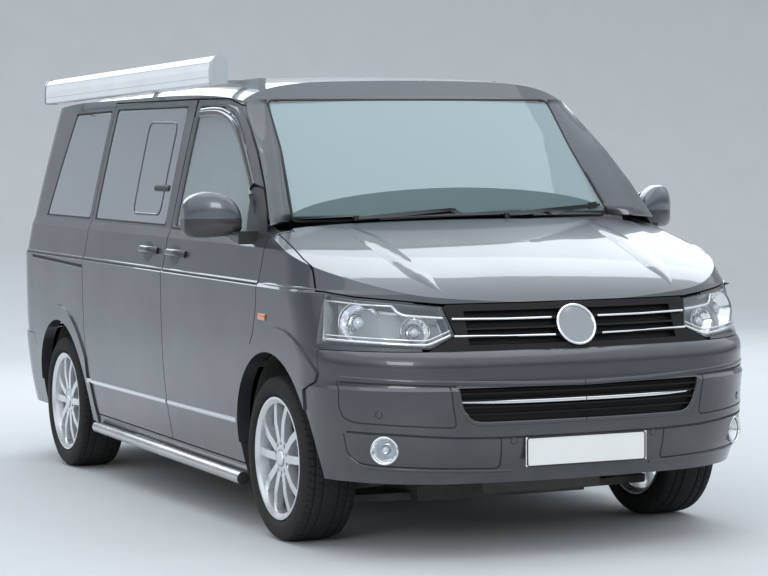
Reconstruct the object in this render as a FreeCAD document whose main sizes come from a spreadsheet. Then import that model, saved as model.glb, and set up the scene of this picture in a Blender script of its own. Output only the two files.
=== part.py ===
import FreeCAD, Part
import math
import os

# Camper van, four doors and a tailgate, awning on the right side.
# +X is forward, +Y is the left side, +Z is up, ground at z = 0, origin at mid-length.

V = FreeCAD.Vector
doc = FreeCAD.newDocument("camper_van")
sheet = doc.addObject("Spreadsheet::Sheet", "sizes")

# Driving dimensions in millimetres, angles in degrees.
SIZES = [
    ("body_length", 4892.0, "bumper to bumper"),
    ("body_width", 1904.0, "widest point of the sides"),
    ("roof_height", 1925.0, "top of the roof at mid-width, body level"),
    ("bottom_height", 250.0, "lowest edge of the body form"),
    ("crease_height", 1046.0, "crease that runs along the doors"),
    ("crease_rise", 14.0, "height of the crease's step"),
    ("belt_height", 1200.0, "lower edge of the belt bevel"),
    ("belt_rise", 40.0, "height of the belt bevel"),
    ("sill_height", 290.0, "lower edge of the doors"),
    ("stance_pitch", 1.0256, "nose-down stance"),
    ("stance_shift", 11.0, "moves the body back so that the origin is at mid-length"),
    ("wheelbase", 3000.0, "axle to axle"),
    ("axle_lead", 37.0, "front axle ahead of half the wheelbase"),
    ("track_width", 1628.0, "wheel centre to wheel centre"),
    ("tyre_radius", 333.0, "outer radius"),
    ("tyre_width", 236.0, "section width"),
    ("rim_radius", 247.0, "radius of the flange"),
    ("rim_width", 216.0, "flange to flange"),
    ("rim_barrel", 9.0, "wall of the barrel"),
    ("spoke_pairs", 5.0, "pairs of spokes"),
    ("hub_radius", 76.0, "centre disc of the wheel"),
    ("bolt_circle", 60.0, "radius of the circle of wheel bolts"),
    ("bolt_count", 5.0, "wheel bolts"),
    ("bolt_hole", 7.5, "radius of a wheel bolt hole"),
    ("disc_radius", 158.0, "brake disc"),
    ("disc_thick", 26.0, "brake disc"),
    ("nose_radius", 2900.0, "plan curve of the nose"),
    ("nose_corner", 520.0, "plan corner radius at the front"),
    ("tail_radius", 3500.0, "plan curve of the tail"),
    ("tail_corner", 330.0, "plan corner radius at the rear"),
    ("door_thick", 48.0, "thickness of doors and walls"),
    ("roof_thick", 36.0, "thickness of roof and bonnet"),
    ("floor_thick", 40.0, "floor pan and firewall"),
    ("pin_radius", 4.0, "hinge pins of the bonnet"),
    ("lug_thick", 12.0, "hinge lugs of the bonnet"),
    ("panel_gap", 6.0, "gap round moving panels"),
    ("glass_thick", 5.0, "all panes"),
    ("glass_inset", 3.0, "pane behind the outer form"),
    ("seat_gap", 0.3, "clearance of seated pieces"),
    ("front_arch", 428.0, "radius of the front wheel opening"),
    ("rear_arch", 418.0, "radius of the rear wheel opening"),
    ("flare_proud", 9.0, "arch flare stands out of the side"),
    ("front_house", 455.0, "depth of a front wheel house from the side"),
    ("rear_house", 290.0, "depth of a rear wheel house from the side"),
    ("liner_thick", 8.0, "wheel house wall"),
    ("awning_length", 2600.0, "cassette"),
    ("awning_height", 127.0, "cassette"),
    ("awning_depth", 78.0, "cassette"),
    ("awning_cap", 26.0, "length of each end cap"),
    ("tube_radius", 27.0, "side tube"),
    ("tube_length", 2060.0, "side tube"),
    ("bracket_thick", 14.0, "brackets that carry the awning"),
    ("rail_width", 34.0, "roof rails"),
    ("plate_width", 520.0, "number plate"),
    ("plate_height", 111.0, "number plate"),
    ("plate_thick", 3.0, "number plate"),
    ("wheel_ring", 188.0, "steering wheel radius"),
    ("ring_grip", 15.0, "steering wheel rim, radius of its section"),
    ("engine_length", 620.0, "engine and gearbox"),
    ("engine_breadth", 720.0, "engine and gearbox"),
    ("engine_height", 480.0, "engine and gearbox"),
    ("seat_width", 520.0, "front seat"),
    ("seat_depth", 520.0, "front seat cushion"),
    ("cushion_thick", 150.0, "seat cushions"),
    ("exhaust_radius", 32.0, "exhaust pipe"),
    ("overrun", 60.0, "how far cutters pass through"),
]
for row, (alias, value, note) in enumerate(SIZES, start=1):
    sheet.set("A%d" % row, alias)
    sheet.set("B%d" % row, str(value))
    sheet.setAlias("B%d" % row, alias)
    sheet.set("C%d" % row, note)
doc.recompute()

size = {alias: float(sheet.get(alias)) for alias, value, note in SIZES}
length = size["body_length"]
width = size["body_width"]
tall = size["roof_height"]
half = width / 2
gap = size["panel_gap"]
wall = size["door_thick"]
skin = size["roof_thick"]
seat = size["seat_gap"]
over = size["overrun"]
pitch = math.radians(size["stance_pitch"])
stance = FreeCAD.Placement(V(-size["stance_shift"], 0, 0),
                           FreeCAD.Rotation(V(0, 1, 0), size["stance_pitch"]))
front_axle = size["wheelbase"] / 2 + size["axle_lead"]
rear_axle = front_axle - size["wheelbase"]
axle_height = size["tyre_radius"]
track = size["track_width"] / 2
FINISHED = {}


def add_part(name, shape, placement=None):
    """A sub-part as a document object with its own label."""
    piece = doc.addObject("Part::Feature", name)
    piece.Shape = shape
    if placement is not None:
        piece.Placement = placement
    piece.Label = name
    FINISHED[name] = piece
    return piece


def adopt(name, feature):
    """Names a document object made of features as a sub-part."""
    feature.Label = name
    FINISHED[name] = feature
    return feature


def in_body(x, z):
    """A place on the ground frame in the level frame of the body."""
    moved = stance.inverse().multVec(V(x, 0, z))
    return moved.x, moved.z


def mirrored(shape):
    return shape.mirror(V(0, 0, 0), V(0, 1, 0))


def largest(shape):
    """The main solid of a cut."""
    return max(shape.Solids, key=lambda solid: solid.Volume)


def joined(shapes):
    whole = shapes[0]
    for shape in shapes[1:]:
        whole = whole.fuse(shape)
    return whole.removeSplitter()


def polygon(points):
    return Part.makePolygon(points + [points[0]])


def side_face(outline):
    return Part.Face(polygon([V(x, 0, z) for x, z in outline]))


def side_prism(outline, y_from, y_to, grow=0.0):
    """Outline in the side view, (x, z), carried across the body."""
    face = side_face(outline)
    if grow:
        face = face.makeOffset2D(grow)
    face.translate(V(0, y_from, 0))
    return face.extrude(V(0, y_to - y_from, 0))


def plan_prism(outline, z_from, z_to, grow=0.0):
    """Outline in plan, (x, y), carried up."""
    face = Part.Face(polygon([V(x, y, 0) for x, y in outline]))
    if grow:
        face = face.makeOffset2D(grow)
    face.translate(V(0, 0, z_from))
    return face.extrude(V(0, 0, z_to - z_from))


def front_prism(outline, x_from, x_to, grow=0.0):
    """Outline in the front view, (y, z), carried along the body."""
    face = Part.Face(polygon([V(0, y, z) for y, z in outline]))
    if grow:
        face = face.makeOffset2D(grow)
    face.translate(V(x_from, 0, 0))
    return face.extrude(V(x_to - x_from, 0, 0))


def box(x_from, x_to, y_from, y_to, z_from, z_to):
    return Part.makeBox(x_to - x_from, y_to - y_from, z_to - z_from, V(x_from, y_from, z_from))


def scaled_side(shares):
    """Side-view points as shares of the length and the height."""
    return [(x * length, z * tall) for x, z in shares]


def scaled_front(shares):
    """Front-view points as shares of the width and the height."""
    return [(y * width, z * tall) for y, z in shares]


def between(value, table):
    """Straight interpolation in a table of pairs."""
    for (low, first), (high, last) in zip(table, table[1:]):
        if value <= high:
            return first + (last - first) * (value - low) / (high - low)
    return table[-1][1]


# The outer form of the body

# Nose and tail in side view: shares of the height, shares of the length.
NOSE_SHARES = [(0.13, 0.4850), (0.1735, 0.4885), (0.2031, 0.4930), (0.2338, 0.4975),
               (0.2909, 0.4988), (0.3584, 0.5), (0.3647, 0.4971), (0.4156, 0.4957),
               (0.4338, 0.4886), (0.5210, 0.4736), (0.5506, 0.4671), (0.6753, 0.4293),
               (1.04, 0.35)]
TAIL_SHARES = [(0.13, -0.4900), (0.2078, -0.4926), (0.3636, -0.4930), (0.5506, -0.4916),
               (0.64, -0.4896), (0.9351, -0.4722), (1.04, -0.4655)]
ROOF_SHARES = [(-0.5233, 0.9506), (-0.4722, 0.9673), (-0.4088, 0.9855), (-0.2453, 0.9969),
               (-0.0613, 1.0), (0.0818, 0.9953), (0.1431, 0.9870), (0.2044, 0.9704),
               (0.2555, 0.9496)]
HOOD_SHARES = [(0.2351, 0.6909), (0.2805, 0.6769), (0.3475, 0.6379), (0.4088, 0.5922),
               (0.4497, 0.5532), (0.4736, 0.5210), (0.4947, 0.4805), (0.5233, 0.4156)]
SCREEN_SHARES = [(0.1498, 1.0182), (0.5147, 0.0649)]
# Levels of the plan sections, with a sharp line between two groups.
LEVEL_GROUP_SHARES = [(0.13, 0.1735, 0.2031), (0.2031, 0.2338, 0.2909, 0.3584), (0.3584, 0.3647),
                      (0.3647, 0.39, 0.4156, 0.4338), (0.4338, 0.48, 0.5434)]
BELT_TUCK_SHARE = 0.0063
CREASE_STEP_SHARE = 0.0053
SILL_TUCK_SHARE = 0.0326
BELT_LEAN_SHARES = (0.1857, 0.425)
GLASS_LEAN_SHARE = 0.215
GLASS_CURVE_SHARE = 0.0704
crease = size["crease_height"]
crease_top = crease + size["crease_rise"]
belt = size["belt_height"]
belt_top = belt + size["belt_rise"]
bottom = size["bottom_height"]
sill = size["sill_height"]
crown_top = tall * 1.04


def half_width(level):
    """Half the width of the body at a level."""
    if level <= crease:
        tuck = (crease - level) / (crease - bottom)
        return half - SILL_TUCK_SHARE * width * tuck ** 3
    top = half - CREASE_STEP_SHARE * width
    if level <= crease_top:
        return half + (top - half) * (level - crease) / (crease_top - crease)
    shoulder = top - BELT_LEAN_SHARES[0] * (belt - crease_top)
    if level <= belt:
        return top + (shoulder - top) * (level - crease_top) / (belt - crease_top)
    window = shoulder - BELT_LEAN_SHARES[1] * (belt_top - belt)
    if level <= belt_top:
        return shoulder + (window - shoulder) * (level - belt) / (belt_top - belt)
    rise = level - belt_top
    return window - GLASS_LEAN_SHARE * rise - GLASS_CURVE_SHARE * rise * rise / tall


def nose_at(level):
    return between(level, [(z * tall, x * length) for z, x in NOSE_SHARES])


def tail_at(level):
    return between(level, [(z * tall, x * length) for z, x in TAIL_SHARES])


def arc(centre, radius, angle_from, angle_to, level):
    middle = (angle_from + angle_to) / 2
    points = [V(centre[0] + radius * math.cos(a), centre[1] + radius * math.sin(a), level)
              for a in (angle_from, middle, angle_to)]
    return Part.Arc(*points).toShape()


def plan_wire(level, inset):
    """Plan outline: nose arc, two corners, sides, two rear corners, tail arc."""
    side = half_width(level)
    nose_r = size["nose_radius"]
    corner_r = size["nose_corner"]
    tail_r = size["tail_radius"]
    rear_r = size["tail_corner"]
    nose_x = nose_at(level) - nose_r
    corner_y = side - corner_r
    corner_x = nose_x + math.sqrt((nose_r - corner_r) ** 2 - corner_y ** 2)
    tail_x = tail_at(level) + tail_r
    rear_y = side - rear_r
    rear_x = tail_x - math.sqrt((tail_r - rear_r) ** 2 - rear_y ** 2)
    turn = math.atan2(corner_y, corner_x - nose_x)
    back = math.atan2(rear_y, tail_x - rear_x)
    quarter = math.pi / 2
    edges = [
        arc((nose_x, 0), nose_r - inset, -turn, turn, level),
        arc((corner_x, corner_y), corner_r - inset, turn, quarter, level),
        Part.LineSegment(V(corner_x, side - inset, level), V(rear_x, side - inset, level)).toShape(),
        arc((rear_x, rear_y), rear_r - inset, quarter, math.pi - back, level),
        arc((tail_x, 0), tail_r - inset, math.pi - back, math.pi + back, level),
        arc((rear_x, -rear_y), rear_r - inset, math.pi + back, 3 * quarter, level),
        Part.LineSegment(V(rear_x, inset - side, level), V(corner_x, inset - side, level)).toShape(),
        arc((corner_x, -corner_y), corner_r - inset, -quarter, -turn, level),
    ]
    return Part.Wire(edges)


def stacked_plan(inset):
    """The body as plan sections one above the other."""
    groups = [[share * tall for share in group] for group in LEVEL_GROUP_SHARES]
    groups[-1][-1] = crease
    groups[0][0] = bottom
    groups += [[crease, crease_top], [crease_top, belt], [belt, belt_top]]
    groups += [[belt_top, (belt_top + tall) / 2, tall, crown_top]]
    pieces = [Part.makeLoft([plan_wire(level, inset) for level in group], True, len(group) < 3)
              for group in groups]
    whole = pieces[0]
    for piece in pieces[1:]:
        whole = whole.fuse(piece)
    return whole


STATION_SHARES = (-0.54, -0.48, -0.42, -0.36, -0.28, -0.15, 0.0, 0.15, 0.28, 0.36, 0.42, 0.48, 0.54)


def crowned(points, drop, push):
    """The solid on one side of a crowned surface: a side profile carried across the body."""
    grid = []
    for share in STATION_SHARES:
        y = share * width
        dx, dz = drop(y)
        grid.append([V(x + dx, y, z + dz) for x, z in points])
    surface = Part.BSplineSurface()
    surface.interpolate(grid)
    solid = surface.toShape().extrude(push)
    if solid.Volume < 0:
        solid.reverse()
    return solid


ROOF_DROP_SHARES = (0.0146, 0.0322)
SCREEN_SAG_SHARES = (0.0315, 0.0263)
HOOD_DROP_SHARES = (0.0063, 0.0131)
SCREEN_STEEP_SHARE = 1.4


def roof_drop(y):
    edge = abs(y) / (0.4 * width)
    return 0, -width * (ROOF_DROP_SHARES[0] * edge ** 2 + ROOF_DROP_SHARES[1] * edge ** 8)


def screen_drop(y):
    edge = abs(y) / (0.4 * width)
    return -width * (SCREEN_SAG_SHARES[0] * edge ** 2 * 1.25 + 0.7 * SCREEN_SAG_SHARES[1] * edge ** 8), 0


def hood_drop(y):
    edge = abs(y) / (0.4885 * width)
    return 0, -width * (HOOD_DROP_SHARES[0] * 2 * edge ** 2 + HOOD_DROP_SHARES[1] * edge ** 8)


def body_form(inset, top_inset):
    """The whole outer form, moved inwards at the sides and down at the top."""
    down = V(0, 0, -2 * tall)
    roof = crowned(scaled_side(ROOF_SHARES), lambda y: (0, roof_drop(y)[1] - top_inset), down)
    hood = crowned(scaled_side(HOOD_SHARES), lambda y: (0, hood_drop(y)[1] - top_inset), down)
    screen = crowned(scaled_side(SCREEN_SHARES),
                     lambda y: (screen_drop(y)[0] - SCREEN_STEEP_SHARE * top_inset, 0),
                     V(-2 * length, 0, 0))
    stack = stacked_plan(inset)
    return stack.common(roof).common(screen).fuse(stack.common(hood)), stack


outer, outer_stack = body_form(0.0, 0.0)
inner, inner_stack = body_form(wall, skin)

# Outlines in the side view, shares of the length and the height

door_front_shares = [(0.2339, 0.1508), (0.2277, 0.1891), (0.2244, 0.2364), (0.2279, 0.2743),
                     (0.2377, 0.3169), (0.2606, 0.3906), (0.2772, 0.4426), (0.2852, 0.4987),
                     (0.2872, 0.5506), (0.2888, 0.6629), (0.2563, 0.7470), (0.2224, 0.8213),
                     (0.1874, 0.8826), (0.1631, 0.9262), (0.1229, 0.9429)]
DOOR_REAR_SHARE = 0.0384
DOOR_TOP_SHARE = 0.9455
SLIDE_REAR_SHARES = [(-0.1973, 0.1508), (-0.2026, 0.2332), (-0.2105, 0.2442), (-0.2105, 0.9455)]
front_window_shares = [(0.0501, 0.6494), (0.2559, 0.6494), (0.2559, 0.6909), (0.2453, 0.7247),
                       (0.2054, 0.8114), (0.1733, 0.8738), (0.1513, 0.9065), (0.1226, 0.9257),
                       (0.0501, 0.9299)]
slide_window_shares = [(0.0211, 0.6494), (-0.2003, 0.6494), (-0.2003, 0.9299), (0.0164, 0.9299)]
rear_window_shares = [(-0.2187, 0.6494), (-0.3751, 0.6494), (-0.3416, 0.9221), (-0.2187, 0.9273)]

door_rear_x = DOOR_REAR_SHARE * length
door_top = DOOR_TOP_SHARE * tall
front_door_outline = ([(door_rear_x, sill)] + scaled_side(door_front_shares) +
                      [(door_rear_x, door_top)])
slide_outline = [(door_rear_x, sill)] + scaled_side(SLIDE_REAR_SHARES) + [(door_rear_x, door_top)]
hinge_x = 0.2888 * length


SIDE_DEPTH_SHARE = 0.66


def side_piece(solid, outline, grow=0.0):
    """What lies inside a side-view outline on the left side."""
    return solid.common(side_prism(outline, SIDE_DEPTH_SHARE * half, width, grow))


pane_core = stacked_plan(wall)


def pane(outline, grow, inset=0.0):
    """Glass that follows the outer form behind a side-view outline on the left side."""
    block = outer.common(side_prism(outline, SIDE_DEPTH_SHARE * half, width, grow))
    front = block.copy()
    front.translate(V(0, -size["glass_inset"] - inset, 0))
    back = block.copy()
    back.translate(V(0, -size["glass_inset"] - inset - size["glass_thick"], 0))
    return largest(front.cut(back).cut(pane_core).common(side_prism(outline, SIDE_DEPTH_SHARE * half, width)))


shell = outer.cut(inner)
side_wall = outer.cut(inner_stack)
front_hub = in_body(front_axle, axle_height)
rear_hub = in_body(rear_axle, axle_height)


def cylinder_y(radius, y_from, y_to, centre):
    return Part.makeCylinder(radius, y_to - y_from, V(centre[0], y_from, centre[1]), V(0, 1, 0))


def arch_cut(centre, radius, depth):
    """Space for a wheel on both sides."""
    left = cylinder_y(radius, half - depth, half + over, centre)
    return left.fuse(mirrored(left))


front_arches = arch_cut(front_hub, size["front_arch"], size["front_house"])
rear_arches = arch_cut(rear_hub, size["rear_arch"], size["rear_house"])

# Arch flares that stand out of the side

FRONT_FLARE_SHARES = (0.0187, -0.003, 0.11)
REAR_FLARE_SHARES = (0.0, 0.0, 0.1012)


def flare(shares, hub):
    """A ring of the outer form round a wheel opening, moved outwards, left side."""
    centre = (hub[0] + shares[0] * length, hub[1] + shares[1] * tall)
    disc = cylinder_y(shares[2] * length, half - wall - over / 2, half + over, centre)
    raised = outer.copy()
    raised.translate(V(0, size["flare_proud"], 0))
    return raised.common(disc).cut(pane_core)


front_flare = flare(FRONT_FLARE_SHARES, front_hub)
rear_flare = flare(REAR_FLARE_SHARES, rear_hub)

# Doors on the left side, the right ones are their mirror images

front_hole = side_prism(front_door_outline, SIDE_DEPTH_SHARE * half, width, gap / 2)
slide_hole = side_prism(slide_outline, SIDE_DEPTH_SHARE * half, width, gap / 2)
swing_radius = hinge_x - door_rear_x - gap / 2
SWING_STEP_SHARES = (0.0, 0.045, 0.09, 0.15)
swing_line = [(hinge_x - math.sqrt(swing_radius ** 2 - (share * width) ** 2), half - share * width)
              for share in SWING_STEP_SHARES]
swing_relief = plan_prism([(door_rear_x - over, half + over), (swing_line[0][0], half + over)] +
                          swing_line + [(door_rear_x - over, swing_line[-1][1])], 0, 2 * tall)
front_door = side_piece(side_wall, front_door_outline, -gap / 2).cut(swing_relief)
front_door = front_door.cut(side_prism(scaled_side(front_window_shares), 0, width))
front_door = largest(front_door.cut(front_arches))
slide_door = side_piece(side_wall, slide_outline, -gap / 2)
slide_door = slide_door.cut(side_prism(scaled_side(slide_window_shares), 0, width))
slide_door = largest(slide_door.cut(rear_arches))
front_glass = pane(scaled_side(front_window_shares), -seat)
slide_glass = pane(scaled_side(slide_window_shares), -seat)
rear_glass = pane(scaled_side(rear_window_shares), -seat)


SIDES = (("left", lambda shape: shape), ("right", mirrored))
for side, turn in SIDES:
    add_part("front_door_" + side, turn(front_door), stance)
    add_part("front_door_glass_" + side, turn(front_glass), stance)
    add_part("sliding_door_" + side, turn(slide_door), stance)

add_part("sliding_door_glass", Part.makeCompound([slide_glass, mirrored(slide_glass)]), stance)
add_part("rear_side_glass", Part.makeCompound([rear_glass, mirrored(rear_glass)]), stance)

# Bonnet, seen from above, shares of the length and the width

BONNET_SHARES = [(0.2842, 0.4150), (0.2925, 0.4180), (0.2935, 0.4530), (0.3328, 0.4611), (0.3622, 0.4680), (0.3827, 0.4680),
                 (0.3966, 0.4760), (0.4100, 0.5200), (0.5200, 0.5200), (0.5200, 0.0)]
bonnet_plan = [(x * length, y * width) for x, y in BONNET_SHARES]
bonnet_plan += [(x, -y) for x, y in reversed(bonnet_plan[:-1])]
BONNET_LOW_SHARE = 0.515
bonnet_low = BONNET_LOW_SHARE * tall
bonnet_zone = plan_prism(bonnet_plan, bonnet_low, tall, -gap / 2)
bonnet_hole = plan_prism(bonnet_plan, bonnet_low - over, tall, gap / 2)
NOSE_TOP_SHARES = [(0.0, 0.5236), (0.2773, 0.5236), (0.3703, 0.5330), (0.4286, 0.5385), (0.4690, 0.5470)]
nose_top = scaled_front(NOSE_TOP_SHARES)
above_line = nose_top + [(width, nose_top[-1][1]), (width, tall), (-width, tall), (-width, nose_top[-1][1])]
above_line += [(-y, z) for y, z in reversed(nose_top[1:])]
above_nose = front_prism(above_line, 0.25 * length, 0.55 * length, -gap / 2)
bonnet_hole = bonnet_hole.common(front_prism(above_line, 0.25 * length, 0.55 * length, gap / 2))
HINGE_PLACE_SHARES = (0.2868, 0.6625)
HINGE_SIDE_SHARE = 0.2400
hinge_pin = (HINGE_PLACE_SHARES[0] * length, HINGE_PLACE_SHARES[1] * tall)
hinge_y = HINGE_SIDE_SHARE * width
eye = 2 * size["pin_radius"]
lug_half = size["lug_thick"] / 2
pocket = box(hinge_pin[0] - over, hinge_pin[0] + 1.4 * eye, hinge_y - lug_half - seat, hinge_y + lug_half + seat,
             hinge_pin[1] - 2 * over, hinge_pin[1] + 1.15 * eye)
pin = cylinder_y(size["pin_radius"], hinge_y - lug_half - 2 * seat, hinge_y + lug_half + 2 * seat, hinge_pin)
bonnet = shell.common(bonnet_zone).common(above_nose)
bonnet = bonnet.cut(pocket).cut(mirrored(pocket)).fuse(pin).fuse(mirrored(pin))
bonnet = largest(bonnet)
add_part("bonnet", bonnet, stance)

# Windscreen, framed by pillars

SCREEN_PANE_SHARES = [(0.0, 0.9490), (0.20, 0.9460), (0.355, 0.9367), (0.415, 0.6780), (0.25, 0.6830), (0.0, 0.6835)]
screen_frame = scaled_front(SCREEN_PANE_SHARES)
screen_frame += [(-y, z) for y, z in reversed(screen_frame[1:-1])]
screen_hole = front_prism(screen_frame, 0.12 * length, 0.32 * length)
screen_block = outer.common(front_prism(screen_frame, 0.05 * length, 0.32 * length, -seat))
slope = V(-size["glass_thick"] * 0.72, 0, -size["glass_thick"] * 0.72)
screen_back = screen_block.copy()
screen_back.translate(slope)
windscreen = largest(screen_block.cut(screen_back).common(
    front_prism(screen_frame, 0.12 * length, 0.32 * length)))
add_part("windscreen", windscreen, stance)

# Nose: bumper, grille, lamps and front wings

bumper_top = 0.4338 * tall
BUMPER_REAR_SHARES = [(0.52, 0.4338), (0.4089, 0.4338), (0.4107, 0.3829), (0.4080, 0.3683),
                      (0.3892, 0.3481), (0.3892, 0.1714), (0.52, 0.1714)]
bumper_outline = scaled_side(BUMPER_REAR_SHARES)
bumper = shell.common(side_prism(bumper_outline, -width, width, -gap / 4))
nose_line = 0.4025 * length
nose_zone = side_prism([(nose_line, bumper_top + gap / 4), (0.52 * length, bumper_top + gap / 4),
                        (0.52 * length, 0.56 * tall), (nose_line, 0.56 * tall)], -width, width)
LAMP_SHARES = [(0.4841, 0.4440), (0.3146, 0.4384), (0.2616, 0.4639), (0.2773, 0.5195),
               (0.3703, 0.5299), (0.4286, 0.5351), (0.4690, 0.5434), (0.54, 0.5434), (0.54, 0.4440)]
lamp_outline = scaled_front(LAMP_SHARES)
LAMP_REAR_SHARE = 0.4055
lamp_reach = front_prism(lamp_outline, LAMP_REAR_SHARE * length, 0.52 * length, -seat)
lamp_block = outer.common(lamp_reach)
lamp_depth = lamp_block.copy()
lamp_depth.translate(V(-0.012 * length, -0.03 * width, 0))
headlamp = largest(lamp_block.cut(lamp_depth))
for side, turn in SIDES:
    add_part("headlamp_" + side, turn(headlamp), stance)

# Upper grille: a dark frame with slats between the lamps

GRILLE_EDGE_SHARES = [(0.0, 0.5236), (0.2680, 0.5236), (0.2760, 0.5180), (0.2590, 0.4639), (0.3120, 0.4384)]
GRILLE_FOOT_SHARE = 0.3200
GRILLE_SLAT_SHARES = (0.5130, 0.4935, 0.4755, 0.4590, 0.4440)
grille_foot = bumper_top - gap / 2 + seat
grille_outline = scaled_front(GRILLE_EDGE_SHARES)
grille_outline += [(GRILLE_FOOT_SHARE * width, grille_foot), (0.0, grille_foot)]
grille_outline += [(-y, z) for y, z in reversed(grille_outline[1:-1])]
grille_deep = 0.0105 * length
grille_block = outer.common(front_prism(grille_outline, 0.44 * length, 0.52 * length, -gap / 4))
grille_back = grille_block.copy()
grille_back.translate(V(-grille_deep, 0, 0))
grille_wall = grille_block.cut(grille_back)
grille_front = grille_block.copy()
grille_front.translate(V(-0.55 * grille_deep, 0, 0))
slat_gap = 0.0068 * tall
slots = []
for upper, lower in zip(GRILLE_SLAT_SHARES, GRILLE_SLAT_SHARES[1:]):
    middle = (upper + lower) / 2 * tall
    slots.append(box(0.44 * length, 0.52 * length, -0.235 * width, 0.235 * width,
                     middle - slat_gap, middle + slat_gap))
slot_depth = grille_wall.cut(grille_front)
grille = grille_wall
for slot in slots:
    grille = grille.cut(slot.common(slot_depth))
badge_radius = 0.0425 * width
badge_height = 0.4725 * tall
badge_x = nose_at(badge_height)
badge = Part.makeCylinder(badge_radius, 0.006 * length, V(badge_x - 0.0052 * length, 0, badge_height),
                          V(math.cos(math.radians(23.5)), 0, math.sin(math.radians(23.5))))
badge_plate = badge
grille = grille.fuse(badge_plate)
add_part("upper_grille", largest(grille), stance)

# Lower intake with its mesh, fog lamps and the bumper

INTAKE_SHARES = [(0.0, 0.3631), (0.2705, 0.3631), (0.2616, 0.3096), (0.2385, 0.2951), (0.0, 0.2925)]
intake_outline = scaled_front(INTAKE_SHARES)
intake_outline += [(-y, z) for y, z in reversed(intake_outline[1:-1])]
intake_hole = front_prism(intake_outline, 0.44 * length, 0.52 * length)
fog_y = 0.4018 * width
fog_z = 0.2410 * tall
fog_radius = 0.0263 * width
fog_axis = V(math.cos(math.radians(35)), math.sin(math.radians(35)), 0)
fog_centre = V(0.4626 * length, fog_y, fog_z)
fog_start = fog_centre - fog_axis * (0.06 * width)
fog_hole = Part.makeCylinder(fog_radius + seat, 0.12 * width, fog_start, fog_axis)
fog_lamp = Part.makeCylinder(fog_radius, 0.055 * width, fog_start, fog_axis)
bumper = bumper.cut(intake_hole).cut(fog_hole).cut(mirrored(fog_hole)).cut(front_arches)
add_part("front_bumper", largest(bumper), stance)
add_part("fog_lamps", Part.makeCompound([fog_lamp, mirrored(fog_lamp)]), stance)
intake_block = outer.common(front_prism(intake_outline, 0.44 * length, 0.52 * length, -seat))
intake_front = intake_block.copy()
intake_front.translate(V(-0.004 * length, 0, 0))
intake_back = intake_block.copy()
intake_back.translate(V(-0.009 * length, 0, 0))
intake = intake_front.cut(intake_back)
rib_depth = intake_block.cut(intake_front)
RIB_SHARES = (0.352, 0.339, 0.325, 0.311)
rib_half = 0.0016 * tall
for share in RIB_SHARES:
    rib = box(0.44 * length, 0.52 * length, -0.27 * width, 0.27 * width,
              share * tall - rib_half, share * tall + rib_half)
    intake = intake.fuse(rib_depth.common(rib))
add_part("lower_grille", largest(intake), stance)

# Front wings between the bumper, the lamp, the bonnet and the door

bumper_hole = side_prism(bumper_outline, -width, width, gap / 4)
wing_zone = side_prism([(0.2*length, 0.0), (0.2*length, 0.682*tall), (0.52*length, 0.682*tall),
                        (0.52*length, 0.0)], 0.66 * half, width)
wing = shell.fuse(front_flare).common(wing_zone)
front_cuts = [front_hole, bumper_hole, bonnet_hole, front_arches]
for cutter in front_cuts:
    wing = wing.cut(cutter)
lamp_cutter = front_prism(lamp_outline, LAMP_REAR_SHARE * length - gap / 2, 0.52 * length)
cowl_side = box(0.2 * length, BONNET_SHARES[0][0] * length + gap / 2, 0.6 * half, BONNET_SHARES[0][1] * width + gap / 2,
                0.6 * tall, 0.7 * tall)
wing = wing.cut(lamp_cutter).cut(cowl_side)
wing = largest(wing)
for side, turn in SIDES:
    add_part("front_wing_" + side, turn(wing), stance)

# Tailgate, rear bumper, lamps

TAILGATE_SHARES = [(0.0, 0.9500), (0.34, 0.9380), (0.385, 0.8900), (0.42, 0.7000), (0.424, 0.56),
                   (0.395, 0.54), (0.395, 0.335), (0.0, 0.335)]
TAIL_GLASS_SHARES = [(0.0, 0.9050), (0.318, 0.8950), (0.350, 0.8550), (0.385, 0.6850), (0.0, 0.6750)]
TAIL_LAMP_SHARES = [(0.400, 0.3950), (0.400, 0.5350), (0.430, 0.5560), (0.54, 0.5560), (0.54, 0.3950)]
TAIL_ZONE_SHARE = -0.4300
tail_x = TAIL_ZONE_SHARE * length
tailgate_outline = scaled_front(TAILGATE_SHARES)
tailgate_outline += [(-y, z) for y, z in reversed(tailgate_outline[1:-1])]
glass_outline = scaled_front(TAIL_GLASS_SHARES)
glass_outline += [(-y, z) for y, z in reversed(glass_outline[1:-1])]
tailgate_hole = front_prism(tailgate_outline, tail_x, -0.52 * length, gap / 2)
tailgate = shell.common(front_prism(tailgate_outline, tail_x, -0.52 * length, -gap / 2))
tailgate = largest(tailgate.cut(front_prism(glass_outline, tail_x + over, -0.52 * length)))
add_part("tailgate", tailgate, stance)
rear_block = outer.common(front_prism(glass_outline, 0.8 * tail_x, -0.52 * length, -seat))
rear_front = rear_block.copy()
rear_front.translate(V(size["glass_inset"], 0, 0))
rear_back = rear_block.copy()
rear_back.translate(V(size["glass_inset"] + size["glass_thick"], 0, 0))
tail_pane = rear_front.cut(rear_back).common(front_prism(glass_outline, 0.95 * tail_x, -0.52 * length))
add_part("tailgate_glass", largest(tail_pane), stance)
REAR_BUMPER_SHARES = [(-0.52, 0.325), (-0.398, 0.325), (-0.385, 0.25), (-0.378, 0.13), (-0.52, 0.13)]
rear_bumper_outline = scaled_side(REAR_BUMPER_SHARES)
rear_bumper_hole = side_prism(rear_bumper_outline, -width, width, gap / 4)
bumper_shift = 0.0072 * length
rear_skin = outer.common(side_prism(rear_bumper_outline, -width, width, -gap / 4))
rear_out = rear_skin.copy()
rear_out.translate(V(-bumper_shift, 0, 0))
rear_bumper = rear_out.fuse(rear_skin).cut(inner).cut(rear_arches)
add_part("rear_bumper", largest(rear_bumper), stance)
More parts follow.
